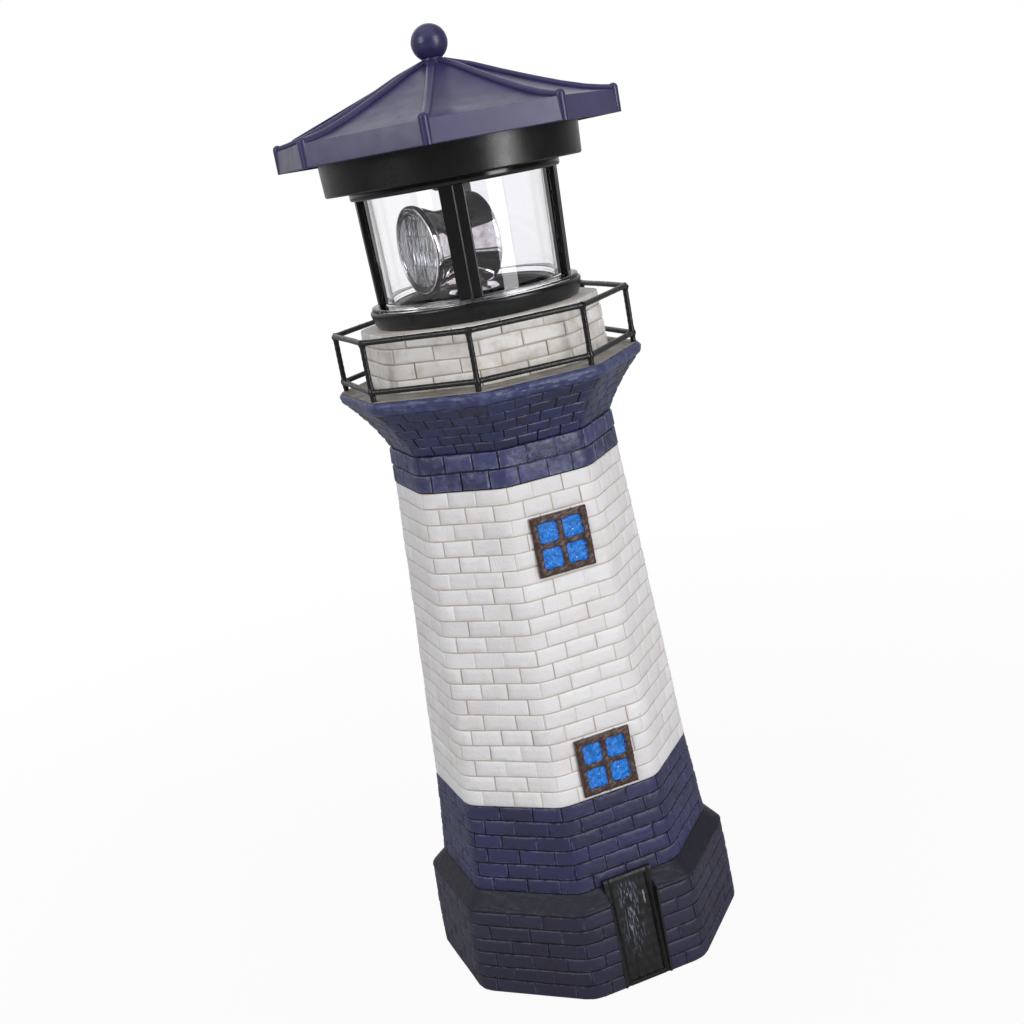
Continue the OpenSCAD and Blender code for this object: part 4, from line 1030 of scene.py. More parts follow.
@dataclass
class Window(Opening):
    """A square window of four panes in a frame with rounded bars."""

    bar: float = 2.1
    mullion: float = 1.9
    frame_out: float = 1.3
    pane_out: float = 0.3
    corner: float = 0.9
    seed: int = 5

    def build(self) -> bpy.types.Object:
        """Makes the window. A pane is a square with rounded corners below the bars; off is the distance outside it.

        Returns:
            The piece.
        """
        w, m = self.width, self.width / 2
        half = self.mullion / 2
        pane = (m - half - self.bar) / 2
        x = np.linspace(0, w, 92)
        xs, zs = np.meshgrid(x, x)
        rim = np.minimum(np.minimum(xs, w - xs), np.minimum(zs, w - zs))
        wave = np.sin(1.3 * xs + 0.7 * zs + self.seed), np.sin(2.9 * zs - 1.7 * xs + self.seed)
        from_x, from_z = (np.abs(np.abs(c - m) - half - pane) - pane + self.corner for c in (xs, zs))
        outside = np.hypot(np.maximum(from_x, 0), np.maximum(from_z, 0))
        off = outside + np.minimum(np.maximum(from_x, from_z), 0) - self.corner
        off = off + 0.05 * wave[1]
        bars = smoothstep(-0.16, 0.16, off)
        top = self.frame_out - 0.35 * (1 - smoothstep(0, 0.7, rim)) - 0.3 * smoothstep(self.bar, self.bar + 0.6, rim)
        top = top - 0.12 * (1 - smoothstep(0, 0.45, off))
        dabs = 0.07 * np.sin(5.1 * xs + 2 * np.sin(3.3 * zs + self.seed)) * np.cos(4.7 * zs + xs)
        relief = bars * top + (1 - bars) * (self.pane_out + dabs) + 0.09 * wave[0] + 0.07 * wave[1]
        middle = 0.25 * (off[1:, 1:] + off[1:, :-1] + off[:-1, 1:] + off[:-1, :-1])
        slots = (middle < 0).astype(int)
        return self.sheet(x, x, relief, slots).build(self.name, [FRAME_PAINT, PANE_PAINT], CASTING, OPENING_SHARP)


@dataclass
class Door(Opening):
    """The black door in its doorway: plinth-high jambs, a frame, a sunk leaf of planks, and a latch on the right."""

    doorway: Doorway | None = None
    plinth: tuple[Level, Level] | None = None
    jamb: float = 0.75
    border: float = 1.5
    plank: float = 3.05
    jamb_top: float = 28.6

    def build(self) -> bpy.types.Object:
        """Makes the door. The jambs rise from its plane to just above the plinth's face, the leaf lies 0.55 deep.

        Returns:
            The piece.
        """
        w, h = self.width, self.height
        reveal, left, foot, head = self.jamb, self.jamb + self.border, 1.4, h - 1.6
        x = lines(w, 0.4, [reveal, w - reveal, left, w - left, left + 0.35, w - left - 0.35], 0.08)
        z = lines(h, 0.7, [foot, head, self.jamb_top, h - 0.5], 0.1)
        xs, zs = np.meshgrid(x, z)
        side = np.minimum(xs, w - xs)
        leaf = smoothstep(left - 0.08, left + 0.08, side)
        leaf = leaf * smoothstep(foot - 0.1, foot + 0.1, zs) * smoothstep(head + 0.1, head - 0.1, zs)
        across = np.abs(((xs - left) / self.plank) % 1 - 0.5) * 2
        planks = -0.22 * smoothstep(0.86, 1.0, across)
        grain = 0.05 * np.sin(11 * xs + 0.8 * np.sin(0.5 * zs)) + 0.04 * np.sin(0.9 * zs + 2 * xs)
        groove = -0.3 * np.exp(-((side - left + 0.55) / 0.14) ** 2)
        proud = self.doorway.face(zs) - front_y(*self.plinth, zs) + 0.16
        jambs = (1 - smoothstep(reveal - 0.08, reveal + 0.08, side)) * proud
        jambs = jambs * smoothstep(self.jamb_top + 0.1, self.jamb_top - 0.1, zs)
        rounding = -0.35 * (1 - smoothstep(0, 0.7, h - zs)) + 0.12 * smoothstep(h - 1.5, h - 0.9, zs)
        relief = leaf * (-0.55 + planks + grain) + (1 - leaf) * (groove + rounding) + jambs + 0.04 * np.sin(1.9 * zs)
        middle_x, middle_z = 0.5 * (x[1:] + x[:-1]), 0.5 * (z[1:] + z[:-1])
        within = ((middle_z > foot) & (middle_z < head))[:, None] & ((middle_x > left) & (middle_x < w - left))[None]
        slots = within.astype(int)
        dry = np.exp(-((xs - 0.44 * w) / 2.8) ** 2) * smoothstep(6, 18, zs) * smoothstep(h - 1, h - 4, zs)
        shell = self.sheet(x, z, relief, slots, dry=dry)
        self._latch(shell)
        return shell.build(self.name, [DOOR_TRIM, DOOR_PAINT, HANDLE_PAINT], CASTING, OPENING_SHARP)

    def _latch(self, shell: Shell) -> None:
        """The latch: a thin upright bar on the right, whose radius swells as a squared cosine towards both ends.

        Args:
            shell: The shell that it goes into.
        """
        low, high = 24.2, 28.6
        middle = 0.5 * (low + high)
        z = np.linspace(low, high, 25)
        radius = 0.26 + 0.16 * np.cos((z - low) / (high - low) * 4 * math.pi) ** 2 * (np.abs(z - middle) > 0.6)
        radius = radius * np.sqrt(np.clip(1 - (np.abs(z - middle) / 2.25) ** 6, 0.02, 1))
        shell.tube(self._place(0 * z + self.width - 4.1, 0 * z - 0.45, z), radius, 12, slot=2)


@dataclass
class Tower:
    """The cast tower: plinth, ledge, shaft in three paint bands, corbel, gallery floor and drum, windows and door."""

    plinth_foot: Level = Level(50.8, 0.0)
    plinth_top: Level = Level(49.9, 28.0)
    foot: Level = Level(45.0, 33.1)
    waist: Level = Level(42.4, 61.4)
    white_top: Level = Level(36.2, 161.5)
    neck: Level = Level(35.6, 172.8)
    corbel: Level = Level(46.5, 188.0)
    deck: Level = Level(48.1, 192.3)
    drum: Level = Level(38.5, 210.0)
    bore: float = 26.3
    wall: float = 4.33
    window_side: float = 18.2
    window_x: float = 0.7
    window_feet: tuple[float, float] = (132.6, 62.6)

    def __post_init__(self) -> None:
        """Works out the doorway from the wall that it is sunk into."""
        self.doorway = Doorway(front_y(self.plinth_foot, self.plinth_top, 0.0) + 0.3,
                               front_y(self.foot, self.waist, self.foot.z) - 1.6)

    def build(self) -> None:
        """Builds the belts from the ground up with the gallery floor between, then the windows and the door."""
        w, bore = self.wall, self.bore
        Courses("plinth_courses", self.plinth_foot, self.plinth_top, 6, FOOT_BRICK, 11, joint_depth=0.45, joint_w=0.42,
                wobble=0.3, shift=1.0, end_strength=(0.3, 0.9), rounding=9, doorway=self.doorway, bow=-0.2,
                inside=[self.plinth_foot.inset(w), Level(self.plinth_top.r - w, 26.0),
                        Level(self.foot.r - w + 3, self.plinth_top.z)]).build()
        self._ledge()
        Courses("foot_courses", self.foot, self.waist, 6, BLUE_BRICK, 23, joint_depth=0.5, joint_w=0.42,
                doorway=self.doorway, inside=[self.foot.inset(w), self.waist.inset(w)]).build()
        Courses("white_courses", self.waist, self.white_top, 20, WHITE_BRICK, 37, joint_w=0.34, joint_depth=0.26,
                bed_strength=0.62, end_strength=(0.15, 0.9), unevenness=0.12,
                inside=[self.waist.inset(w), self.white_top.inset(w)]).build()
        Courses("neck_courses", self.white_top.inset(-0.35), self.neck.inset(-0.3), 2, NECK_BRICK, 41, joint_depth=0.5,
                joint_w=0.45, unevenness=0.25, end_strength=(0.5, 1.0),
                inside=[self.white_top.inset(w), self.neck.inset(w)]).build()
        Courses("corbel_courses", self.neck, self.corbel, 5, CORBEL_BRICK, 53, per_side=4, joint_depth=0.45,
                joint_w=0.4, bow=0.9, rounding=7, bed_strength=0.4, end_strength=(0.5, 1.0),
                inside=[self.neck.inset(w), Level(self.neck.r - w, self.corbel.z)]).build()
        self._deck()
        Courses("drum_courses", Level(self.drum.r, self.deck.z), self.drum.inset(0.4), 4, DRUM_BRICK, 67, per_side=2,
                joint_w=0.36, joint_depth=0.4, rounding=13, wobble=0.45, shift=1.4, bed_strength=0.6,
                end_strength=(0.3, 1.0), unevenness=0.25, inside_round=True,
                inside=[Level(bore, self.deck.z), Level(bore, self.drum.z)]).build()
        self._openings()

    def _plain_ring(self, name: str, profile: np.ndarray, finish: Finish, rounding: float, round_rows: np.ndarray,
                    roughness: float, seed: int) -> bpy.types.Object:
        """A ring of octagonal section rows with an uneven surface.

        Args:
            name: Name of the piece.
            profile: Rows of (corner radius, z), outside upwards and inside downwards, as a loop.
            finish: Its finish.
            rounding: Corner rounding.
            round_rows: Whether each row is a circle and not an octagon.
            roughness: Height of the unevenness.
            seed: Seed of the unevenness.

        Returns:
            The piece.
        """
        near_door = np.array(self.doorway.columns) / (2 * self.foot.r * math.sin(HALF_SIDE)) * 0.95
        place = np.sort(np.concatenate([np.linspace(-0.5, SIDES - 0.5, 400, endpoint=False), near_door]))
        r, z = profile[:, :1], profile[:, 1:]
        angle = place[None] * 2 * math.pi / SIDES
        xy, out = octagon(place[None] + 0 * r, r, rounding)
        circle = xy / np.linalg.norm(xy, axis=-1, keepdims=True) * r[..., None]
        xy = np.where(round_rows[:, None, None], circle, xy)
        uneven = roughness * waves(angle * 5 + z * 1.3, seed, 9) * (~round_rows[:, None])
        heights = np.broadcast_to(z, uneven.shape) - 0.4 * np.abs(uneven)
        points = self.doorway.sink(np.concatenate([xy + uneven[..., None] * out, heights[..., None]], -1))
        tone = 0.5 + 0.5 * waves(angle * 3 + z, seed + 2, 6)
        shell = Shell().grid(points, wrap_u=True, wrap_v=True, joint=0 * tone, tone=tone, edge=0 * tone)
        return shell.build(name, [finish], CASTING)

    def _ledge(self) -> None:
        """The smooth sloping ledge above the plinth, its lower edge rounded over."""
        top, foot = self.plinth_top, self.foot
        outer = rounded([(top.r - 0.2, top.z, 0), (top.r + 0.1, top.z + 0.6, 0.8), (top.r - 0.9, top.z + 1.4, 0.6),
                         (foot.r + 0.6, foot.z - 0.8, 0.8), (foot.r - 0.2, foot.z, 0)])
        inner = np.array([(foot.r - self.wall, foot.z), (foot.r - self.wall + 3, top.z)])
        profile = np.concatenate([outer, inner])
        # The ledge's darker paint is painted shade.
        self._plain_ring("plinth_ledge", profile, LEDGE_SHADED_PAINT, 8.0, np.zeros(len(profile), bool), 0.16, 71)

    def _deck(self) -> None:
        """The gallery floor: a thick slab whose painted edge is rounded, grey on top, open round the drive housing."""
        r, z, low = self.deck.r, self.deck.z, self.corbel.z
        edge = rounded([(self.corbel.r - 0.3, low, 0), (r - 0.5, low + 0.9, 0.9), (r, z - 1.2, 0.9),
                        (r - 1.0, z - 0.25, 0.5), (r - 1.6, z - 0.1, 0)])
        inner = np.array([(self.bore + 3, z - 0.3), (self.bore, z - 0.3), (self.bore, low),
                          (self.neck.r - self.wall, low)])
        profile = np.concatenate([edge, inner])
        circles = np.arange(len(profile)) >= len(profile) - len(inner)
        circles[-1] = False
        self._plain_ring("gallery_edge", profile, EDGE_PAINT, 6.0, circles, 0.28, 83)
        top = rounded([(self.drum.r - 2, z - 0.25, 0), (r - 2.2, z - 0.2, 0), (r - 1.3, z - 0.25, 0.4),
                       (r - 1.0, z - 0.12, 0), (r - 1.9, z, 0.4), (self.drum.r - 2, z, 0)])
        self._plain_ring("gallery_floor", top, DECK_STONE, 6.0, np.zeros(len(top), bool), 0.12, 89)

    def _openings(self) -> None:
        """Two windows on the white band and the door in the plinth."""
        low, high = self.waist, self.white_top
        lean = math.atan((low.r - high.r) * math.cos(HALF_SIDE) / (high.z - low.z))
        for name, foot, seed in zip(("window_upper", "window_lower"), self.window_feet, (5, 9)):
            side = self.window_side
            Window(name, side, side, self.window_x, foot, front_y(low, high, foot), lean, seed=seed).build()
        way = self.doorway
        slope = math.atan((way.head_y - way.foot_y) / way.height)
        tall = math.hypot(way.height, way.head_y - way.foot_y)
        Door("door", way.width + 1.2, tall, way.x_mid, 0.0, way.foot_y, slope, sunk=1.6, doorway=way,
             plinth=(self.plinth_foot, self.plinth_top)).build()


# ---------------------------------------------------------------- railing


@dataclass
class Railing:
    """The wire railing round the gallery: two rails bent at each corner, eight posts, and a weld at each joint."""

    corner_r: float = 45.5
    bend_r: float = 2.2
    wire: float = 0.84
    low: float = 195.1
    high: float = 209.6
    floor: float = 192.3

    def build(self) -> None:
        """Rails first, then posts with their welds."""
        for name, z, seed in (("top_rail", self.high, 3), ("bottom_rail", self.low, 4)):
            place = np.linspace(-0.5, SIDES - 0.5, 480, endpoint=False)
            xy, _ = octagon(place, self.corner_r, self.bend_r)
            angle = place * 2 * math.pi / SIDES
            xy = xy * (1 + 0.0012 * waves(angle, seed, 8))[:, None]
            path = np.column_stack([xy, z + 0.12 * waves(angle, seed + 20, 9)])
            near = np.abs(((place - 0.5) % 1 + 0.5) % 1 - 0.5)
            radius = self.wire * (1 + 0.10 * np.exp(-(near / 0.04) ** 2) + 0.05 * waves(angle * 9, seed, 9))
            self._build(Shell().tube(path, radius, closed=True), name + "_wire", name)
        shell = Shell()
        rng = np.random.default_rng(17)
        for k in range(SIDES):
            x, y = octagon(np.array([k + 0.5 - 1e-6]), self.corner_r, self.bend_r)[0][0]
            tilt = rng.uniform(-0.35, 0.35, 2)
            z = np.concatenate([[self.floor - 0.3], np.linspace(self.floor, self.high, 70), [self.high + 0.95]])
            share = (z - self.low) / (self.high - self.low)
            path = np.column_stack([x + tilt[0] * share * (1 - share), y + tilt[1] * share * (1 - share), z])
            lumps = 0.38 * np.exp(-((z - self.low) / 0.9) ** 2) + 0.42 * np.exp(-((z - self.high + 0.1) / 0.9) ** 2)
            radius = self.wire * 0.98 + lumps + 0.03 * np.sin(3.1 * z + k)
            radius[-1], radius[-2] = 0.45, 1.1
            shell.tube(path, radius)
        self._build(shell, "rail_post_wires", "rail_posts")

    @staticmethod
    def _build(shell: Shell, name: str, stands_for: str) -> None:
        """Makes a piece of the railing, turned as the railing stands on the tower."""
        shell.build(name, [RAIL_ENAMEL], Role("tower", stands_for, "rail_wire"), turned=RAIL_TURN)


# ---------------------------------------------------------------- lantern


@dataclass
class Lantern:
    """The lantern's black base with its well and drive housing, the clear cylinder with its foot flange, and the black
    cage of lip and four ridged posts."""

    ring_foot: float = 210.3
    ring_top: float = 215.4
    well_r: float = 23.9
    floor_top: float = 207.8
    floor_under: float = 205.8
    spindle_hole_r: float = 4.0
    housing_r: float = 26.0
    housing_bore_r: float = 24.2
    housing_foot: float = 135.8
    lip_under: float = 248.5
    ceiling: float = 250.8
    pane_foot_r: float = 27.5
    pane_top_r: float = 28.6
    pane_wall: float = 1.5
    flange_r: float = 31.9
    lip_r: float = 32.0
    post_w: float = 6.8
    post_t: float = 2.3
    post_turn: float = math.radians(-19.3 - 90)

    def build(self) -> None:
        """The base, the pane, then the cage."""
        self._base()
        self._pane()
        self._cage()

    def _base(self) -> None:
        """The base turned from one closed profile: flared ring with a rounded brim, stepped well, spindle hole and
        housing."""
        foot, top, well = self.ring_foot, self.ring_top, self.well_r
        floor, under, hole = self.floor_top, self.floor_under, self.spindle_hole_r
        ring = [(self.housing_r, foot, 0), (31.0, foot, 0.7), (31.7, 211.1, 0.6), (32.7, top - 0.7, 0.5),
                (32.3, top, 0.5), (26.2, top, 0.15), (25.6, top - 0.35, 0.15), (24.3, top - 0.35, 0.2),
                (well, top - 0.9, 0.3)]
        well_steps = [(well, 209.9, 0.6), (22.2, 209.3, 0.3), (21.6, 208.2, 0.4), (19.0, floor, 0.3), (6.2, floor, 0.1),
                      (hole, floor, 0.05), (hole, under, 0.05)]
        housing = [(self.housing_bore_r, under, 0.3), (self.housing_bore_r, self.housing_foot, 0.1),
                   (self.housing_r, self.housing_foot, 0.2)]
        profile = rounded(ring + well_steps + housing, closed=True)
        shell = Shell().grid(lathe(profile, 192), wrap_u=True, wrap_v=True)
        shell.build("base_moulding", [BLACK_SATIN], Role("light_unit", "lantern_base", "lantern_black"))

    def _pane(self) -> None:
        """The clear cylinder turned from one closed profile: wall, rounded flange at the foot, rim at the top."""
        r, w, z, rim = self.pane_foot_r, self.pane_wall, self.ring_top + 0.02, self.ceiling - 0.1
        profile = rounded([(r - w, z, 0.2), (self.flange_r, z, 0.15), (self.flange_r, z + 1.1, 0.4),
                           (r + 0.25, z + 1.2, 0.5), (self.pane_top_r, rim, 0.1), (self.pane_top_r - w, rim, 0.1),
                           (r - w + 0.1, z + 2.0, 0.3)], closed=True)
        shell = Shell().grid(lathe(profile, 192), wrap_u=True, wrap_v=True)
        shell.build("clear_pane", [CLEAR_PANE], Role("light_unit", "lens_cylinder", "lens_clear"))

    def _cage(self) -> None:
        """Lip ring turned from a rounded profile; each post is a section with a raised ridge, carried up the pane."""
        inner = self.pane_top_r + 0.12
        z0, z1, r = self.lip_under, self.ceiling, self.lip_r
        profile = rounded([(inner, z0, 0.15), (r - 0.4, z0, 0.5), (r, z0 + 0.7, 0.4), (r, z1 - 0.05, 0.15),
                           (inner, z1 - 0.05, 0.1)], closed=True)
        shell = Shell().grid(lathe(profile, 160), wrap_u=True, wrap_v=True)
        z = np.concatenate([[self.ring_top + 0.05], np.linspace(self.ring_top + 0.1, self.lip_under + 0.3, 24)])
        foot_r, growth = self.pane_foot_r, self.pane_top_r - self.pane_foot_r
        pane_r = foot_r + growth * (z - self.ring_top) / (self.ceiling - self.ring_top)
        t, w = self.post_t, self.post_w
        ridge = 0.03 * w
        section = rounded([(-w / 2, 0.12, 0.1), (w / 2, 0.12, 0.1), (w / 2, t - 0.5, 0.4),
                           (ridge + 0.3, t - 0.1, 0.08), (ridge, t + 0.14, 0.16), (ridge - 0.3, t - 0.1, 0.08),
                           (-w / 2, t - 0.5, 0.4)], closed=True)[::-1]
        for k in range(4):
            middle = self.post_turn + k * math.pi / 2
            angle = middle + section[None, :, 0] / foot_r
            radius = pane_r[:, None] + section[None, :, 1]
            points = np.stack([radius * np.cos(angle), radius * np.sin(angle), z[:, None] + 0 * radius], -1)
            ends = [points[i:i + 1] * 0 + points[i].mean(0) for i in (0, -1)]
            shell.grid(np.concatenate([ends[0], points, ends[1]]), wrap_u=True, flip=True)
        shell.build("cage_moulding", [BLACK_GLOSS], Role("light_unit", "lantern_cage", "lantern_black"),
                    turned=UNIT_TURN)


# ---------------------------------------------------------------- roof


@dataclass
class Roof:
    """The moulded roof: eight dished facets between rounded ribs, and an upright eave with a post on each corner."""

    corner_r: float = 52.0
    eave_low: float = 260.2
    eave_high: float = 267.0
    neck_r: float = 3.4
    neck_z: float = 283.4
    ball_r: float = 5.45
    ball_z: float = 289.35
    rib_r: float = 1.45
    panel_eave_r: float = 52.2
    panel_low: Level = Level(51.7, 267.0)
    panel_high: Level = Level(3.3, 283.6)
    cell_t: float = 1.2
    finger_step: float = 1.9
    bus_x: float = 4.2

    def build(self) -> None:
        """Skin, ribs, ball and solar panels."""
        self._skin()
        self._ball()
        self._panels()

    def line(self, r: np.ndarray) -> np.ndarray:
        """Height of the facets' corner line: a slope that flattens towards the eave, straight between known points.

        Args:
            r: Corner radius.

        Returns:
            Height at each radius.
        """
        known_r = np.array([2.0, 3.8, 10.85, 19.2, 27.6, 36.0, 43.1, 47.4, 50.9, 53.0])
        known_z = np.array([284.2, 283.5, 281.0, 277.4, 274.0, 270.8, 268.5, 267.5, 266.9, 266.8])
        return np.interp(r, known_r, known_z)

    def _skin(self) -> None:
        """Facets and eave as one closed loop of octagonal rows; ribs and corner posts as round bars on the corners."""
        r = self.corner_r
        slope = np.concatenate([[r - 0.5, r - 1.4], np.linspace(r - 3, 4.0, 26)])
        top = np.column_stack([slope, self.line(slope)])
        low, high = self.eave_low, self.eave_high
        eave = [(r - 2.2, low), (r, low), (r + 0.15, low + 0.25), (r - 0.25, high - 0.6), (r - 0.35, high - 0.15)]
        outer = np.concatenate([eave, top, [(self.neck_r, self.neck_z)]])
        inner = np.array([(self.neck_r, self.neck_z - 2.5), (30, self.line(np.array(30.0)) - 2.2),
                          (r - 2.2, high - 2.0)])
        profile = np.concatenate([outer, inner])
        half_side = np.array([0.1, 0.25, 0.4, 0.46, 0.49, 0.499])
        place = np.sort(np.add.outer(np.arange(SIDES), np.concatenate([-half_side, half_side])).ravel())
        pr = profile[:, :1]
        xy, _ = octagon(place[None] + 0 * pr, pr, 0.05)
        along, across = np.clip((pr - 4) / (r - 6), 0, 1), place - np.round(place)
        dish = 0.25 * np.cos(math.pi * across) ** 2 * np.sin(math.pi * along)
        dish = dish * (np.arange(len(pr)) < len(outer))[:, None]
        z = profile[:, 1:] - dish
        points = np.concatenate([xy, z[..., None]], -1)
        shell = Shell().grid(points, wrap_u=True, wrap_v=True)
        radius = np.linspace(3.2, r - 1.2, 60)
        thick = np.interp(radius, [3, 12, 45, r], [1.0, 1.25, self.rib_r, self.rib_r])
        dome = np.linspace(0.2, 1.5, 8)
        post_z = np.concatenate([[low], np.linspace(low + 0.05, high + 0.4, 14), high + 0.4 + np.sin(dome) * 1.3])
        post_r = np.concatenate([[self.rib_r * 0.9], np.full(14, self.rib_r), self.rib_r * np.cos(dome)])
        for k in range(SIDES):
            facing = (k + 0.5) * 2 * HALF_SIDE - math.pi / 2
            out = np.array([math.cos(facing), math.sin(facing)])
            path = np.column_stack([radius[:, None] * out[None], self.line(radius) + 0.15])
            shell.tube(path, thick, stretch=(1.0, 0.85))
            post = np.column_stack([np.tile(out * (r - 1.05), (len(post_z), 1)), post_z])
            shell.tube(post, post_r, 20)
        self._build(shell, "roof_moulding", "roof_shell", sharp=math.radians(30))

    def _ball(self) -> None:
        """The ball and its neck as one turned profile: a collar, a waist, and the sphere with a faint mould line."""
        phi = np.linspace(-math.pi / 2 + 0.62, math.pi / 2, 48)
        seam = 0.05 * np.exp(-(phi / 0.03) ** 2)
        ball = np.column_stack([(self.ball_r + seam) * np.cos(phi), self.ball_z + (self.ball_r + seam) * np.sin(phi)])
        ball[-1, 0] = 0
        neck = rounded([(0.0, 281.0, 0), (3.9, 281.0, 0.1), (3.9, 283.6, 0.3), (3.35, 284.2, 0.3),
                        (ball[0, 0], ball[0, 1], 0)])
        profile = np.concatenate([neck[:-1], ball])
        self._build(Shell().grid(lathe(profile, 96), wrap_u=True), "roof_ball", "ball_finial", sharp=SMOOTH_ANGLE)

    @staticmethod
    def _build(shell: Shell, name: str, stands_for: str, sharp: float) -> None:
        """Makes a piece of navy plastic, turned as the lantern stands in the tower."""
        shell.build(name, [ROOF_PLASTIC], Role("light_unit", stands_for, "roof_blue"), sharp, UNIT_TURN)

    def _panels(self) -> None:
        """Three trapezoid cells on the rear facets: a thin slab with rounded edge, printed with fingers and bus bars.

        A point of the slab is the facet's foot, plus x along the eave, plus y up the slope, plus height square to it.
        """
        foot, head = self.panel_low, self.panel_high
        low, high = self.panel_eave_r * math.cos(HALF_SIDE) - 4.5, 12.0
        half_low, half_high = (flat * math.tan(HALF_SIDE) - 2.4 for flat in (low, high))
        rows = np.linspace(0, 1, 140)
        columns = np.linspace(-1, 1, 90)
        run = (foot.r - head.r) * math.cos(HALF_SIDE)
        lean = math.atan2(head.z - foot.z, run)
        long = (low - high) / math.cos(lean)
        y = rows[:, None] * long + 0 * columns[None]
        x = columns[None] * (half_low + (half_high - half_low) * rows[:, None])
        margin = np.minimum(np.minimum(rows, 1 - rows)[:, None] * long, half_low * (1 - np.abs(columns))[None])
        height = self.cell_t - 0.25 * (1 - smoothstep(0, 0.5, margin))
        finger = np.abs(y / self.finger_step % 1 - 0.5) > 0.44
        bus = np.abs(np.abs(x) - self.bus_x) < 0.45
        line = ((finger | bus) & (margin > 0.8)).astype(float)
        foot_z = foot.z + (head.z - foot.z) * (foot.r * math.cos(HALF_SIDE) - low) / run
        c, s = math.cos(lean), math.sin(lean)
        top, under = (np.stack([x, -low + y * c - rise * s, foot_z + y * s + rise * c], -1)
                      for rise in (height, 0 * height))
        shell = Shell()
        for k in (-1, 0, 1):
            face, back = (spin(side, math.pi + k * math.pi / 4) for side in (top, under))
            shell.grid(face, line=line)
            shell.grid(back[::len(rows) - 1, ::len(columns) - 1], flip=True)
            shell.grid(np.stack([border(back), border(face)]), wrap_u=True)
        shell.build("solar_cells", [CELL], Role("light_unit", "solar_panels", "solar_cell"), turned=UNIT_TURN)


# ---------------------------------------------------------------- beacon


@dataclass
class Beacon:
    """The turning lamp: two bell-shaped chrome bowls back to back with ribbed lenses. The beam is along local X."""

    beam_z: float = 230.2
    turn: float = math.radians(-81 - 90)
    shift: float = 6.0
    rim_r: float = 13.2
    waist_r: float = 10.0
    bore_r: float = 9.62
    half: float = 11.0
    step_mm: float = 4.3
    flute_mm: float = 2.5

    def build(self) -> None:
        """Barrel, then a lens at each end."""
        rim, half = self.rim_r, self.half
        end = [(rim - 1.0, half - 3.2, 0.2), (rim - 1.0, half + 0.1, 0.4), (rim, half + 0.1, 0.45),
               (rim, half - 1.5, 0.5), (rim - 0.5, half - 2.2, 0.4), (11.7, 6.2, 1.6), (10.3, 3.2, 1.8)]
        profile = rounded([(r, -z, bend) for r, z, bend in end] + [(self.waist_r, 0, 1.5)] + end[::-1]
                          + [(self.bore_r, half - 3.2, 0.2), (self.bore_r, -half + 3.2, 0.2)], closed=True)
        shell = Shell().grid(self._along(lathe(profile, 128)), wrap_u=True, wrap_v=True)
        shell.build("lamp_bowls", [CHROME], Role("beacon", "lamp_barrel", "lamp_chrome"))
        for name, way in (("front", 1.0), ("rear", -1.0)):
            role = Role("beacon", "beam_lens_" + name, "beam_lens")
            self._lens(way).build("ribbed_lens_" + name, [LAMP_LENS], role, math.radians(60))

    def _along(self, points: np.ndarray, way: float = 1.0) -> np.ndarray:
        """Turns points about Z into points about the beam, then to the lamp's place.

        A point (x, y, z) of the lathe becomes (way z, way y, -x) in the lamp, which keeps its faces outwards.

        Args:
            points: Points (..., 3) about Z.
            way: 1 for the front, -1 for the rear.

        Returns:
            Points (..., 3) in the part.
        """
        local = np.stack([way * points[..., 2] + self.shift, way * points[..., 1], -points[..., 0]], -1)
        return spin(local, self.turn) + np.array([0, 0, self.beam_z])

    def _lens(self, way: float) -> Shell:
        """A domed lens; the height of its inside is upright flutes, |sin| across, plus a rise that restarts each row.

        Args:
            way: 1 for the front, -1 for the rear.

        Returns:
            The lens's shell.
        """
        r = np.concatenate([[0.0], np.linspace(0.3, self.rim_r - 1.35, 60), [self.rim_r - 1.08]])
        angle = np.linspace(0, 2 * math.pi, 240, endpoint=False)
        rr, aa = np.meshgrid(r, angle, indexing="ij")
        across, up = rr * np.sin(aa), rr * np.cos(aa)
        dome = self.half - 0.45 + 0.75 * (1 - (rr / self.rim_r) ** 2)
        inside = rr < 10.6
        row = up / self.step_mm
        flute = 0.6 * np.abs(np.sin(math.pi * (across / self.flute_mm + 0.5 * (np.floor(row) % 2)))) * inside
        step = 0.55 * (row % 1) * inside
        ring = 0.3 * np.exp(-((rr - 11.2) / 0.25) ** 2)
        face = np.stack([rr * np.cos(aa), rr * np.sin(aa), dome + ring], -1)
        back = np.stack([rr * np.cos(aa), rr * np.sin(aa), self.half - 2.2 + flute + step], -1)
        points = np.concatenate([back, face[::-1]])
        return Shell().grid(self._along(points, way), wrap_u=True)


# ---------------------------------------------------------------- studio


@dataclass(frozen=True)
class Lamp:
    """A rectangular lamp: its place and size in metres, and its power in watts."""

    name: str
    place: tuple[float, float, float]
    size: tuple[float, float]
    power: float


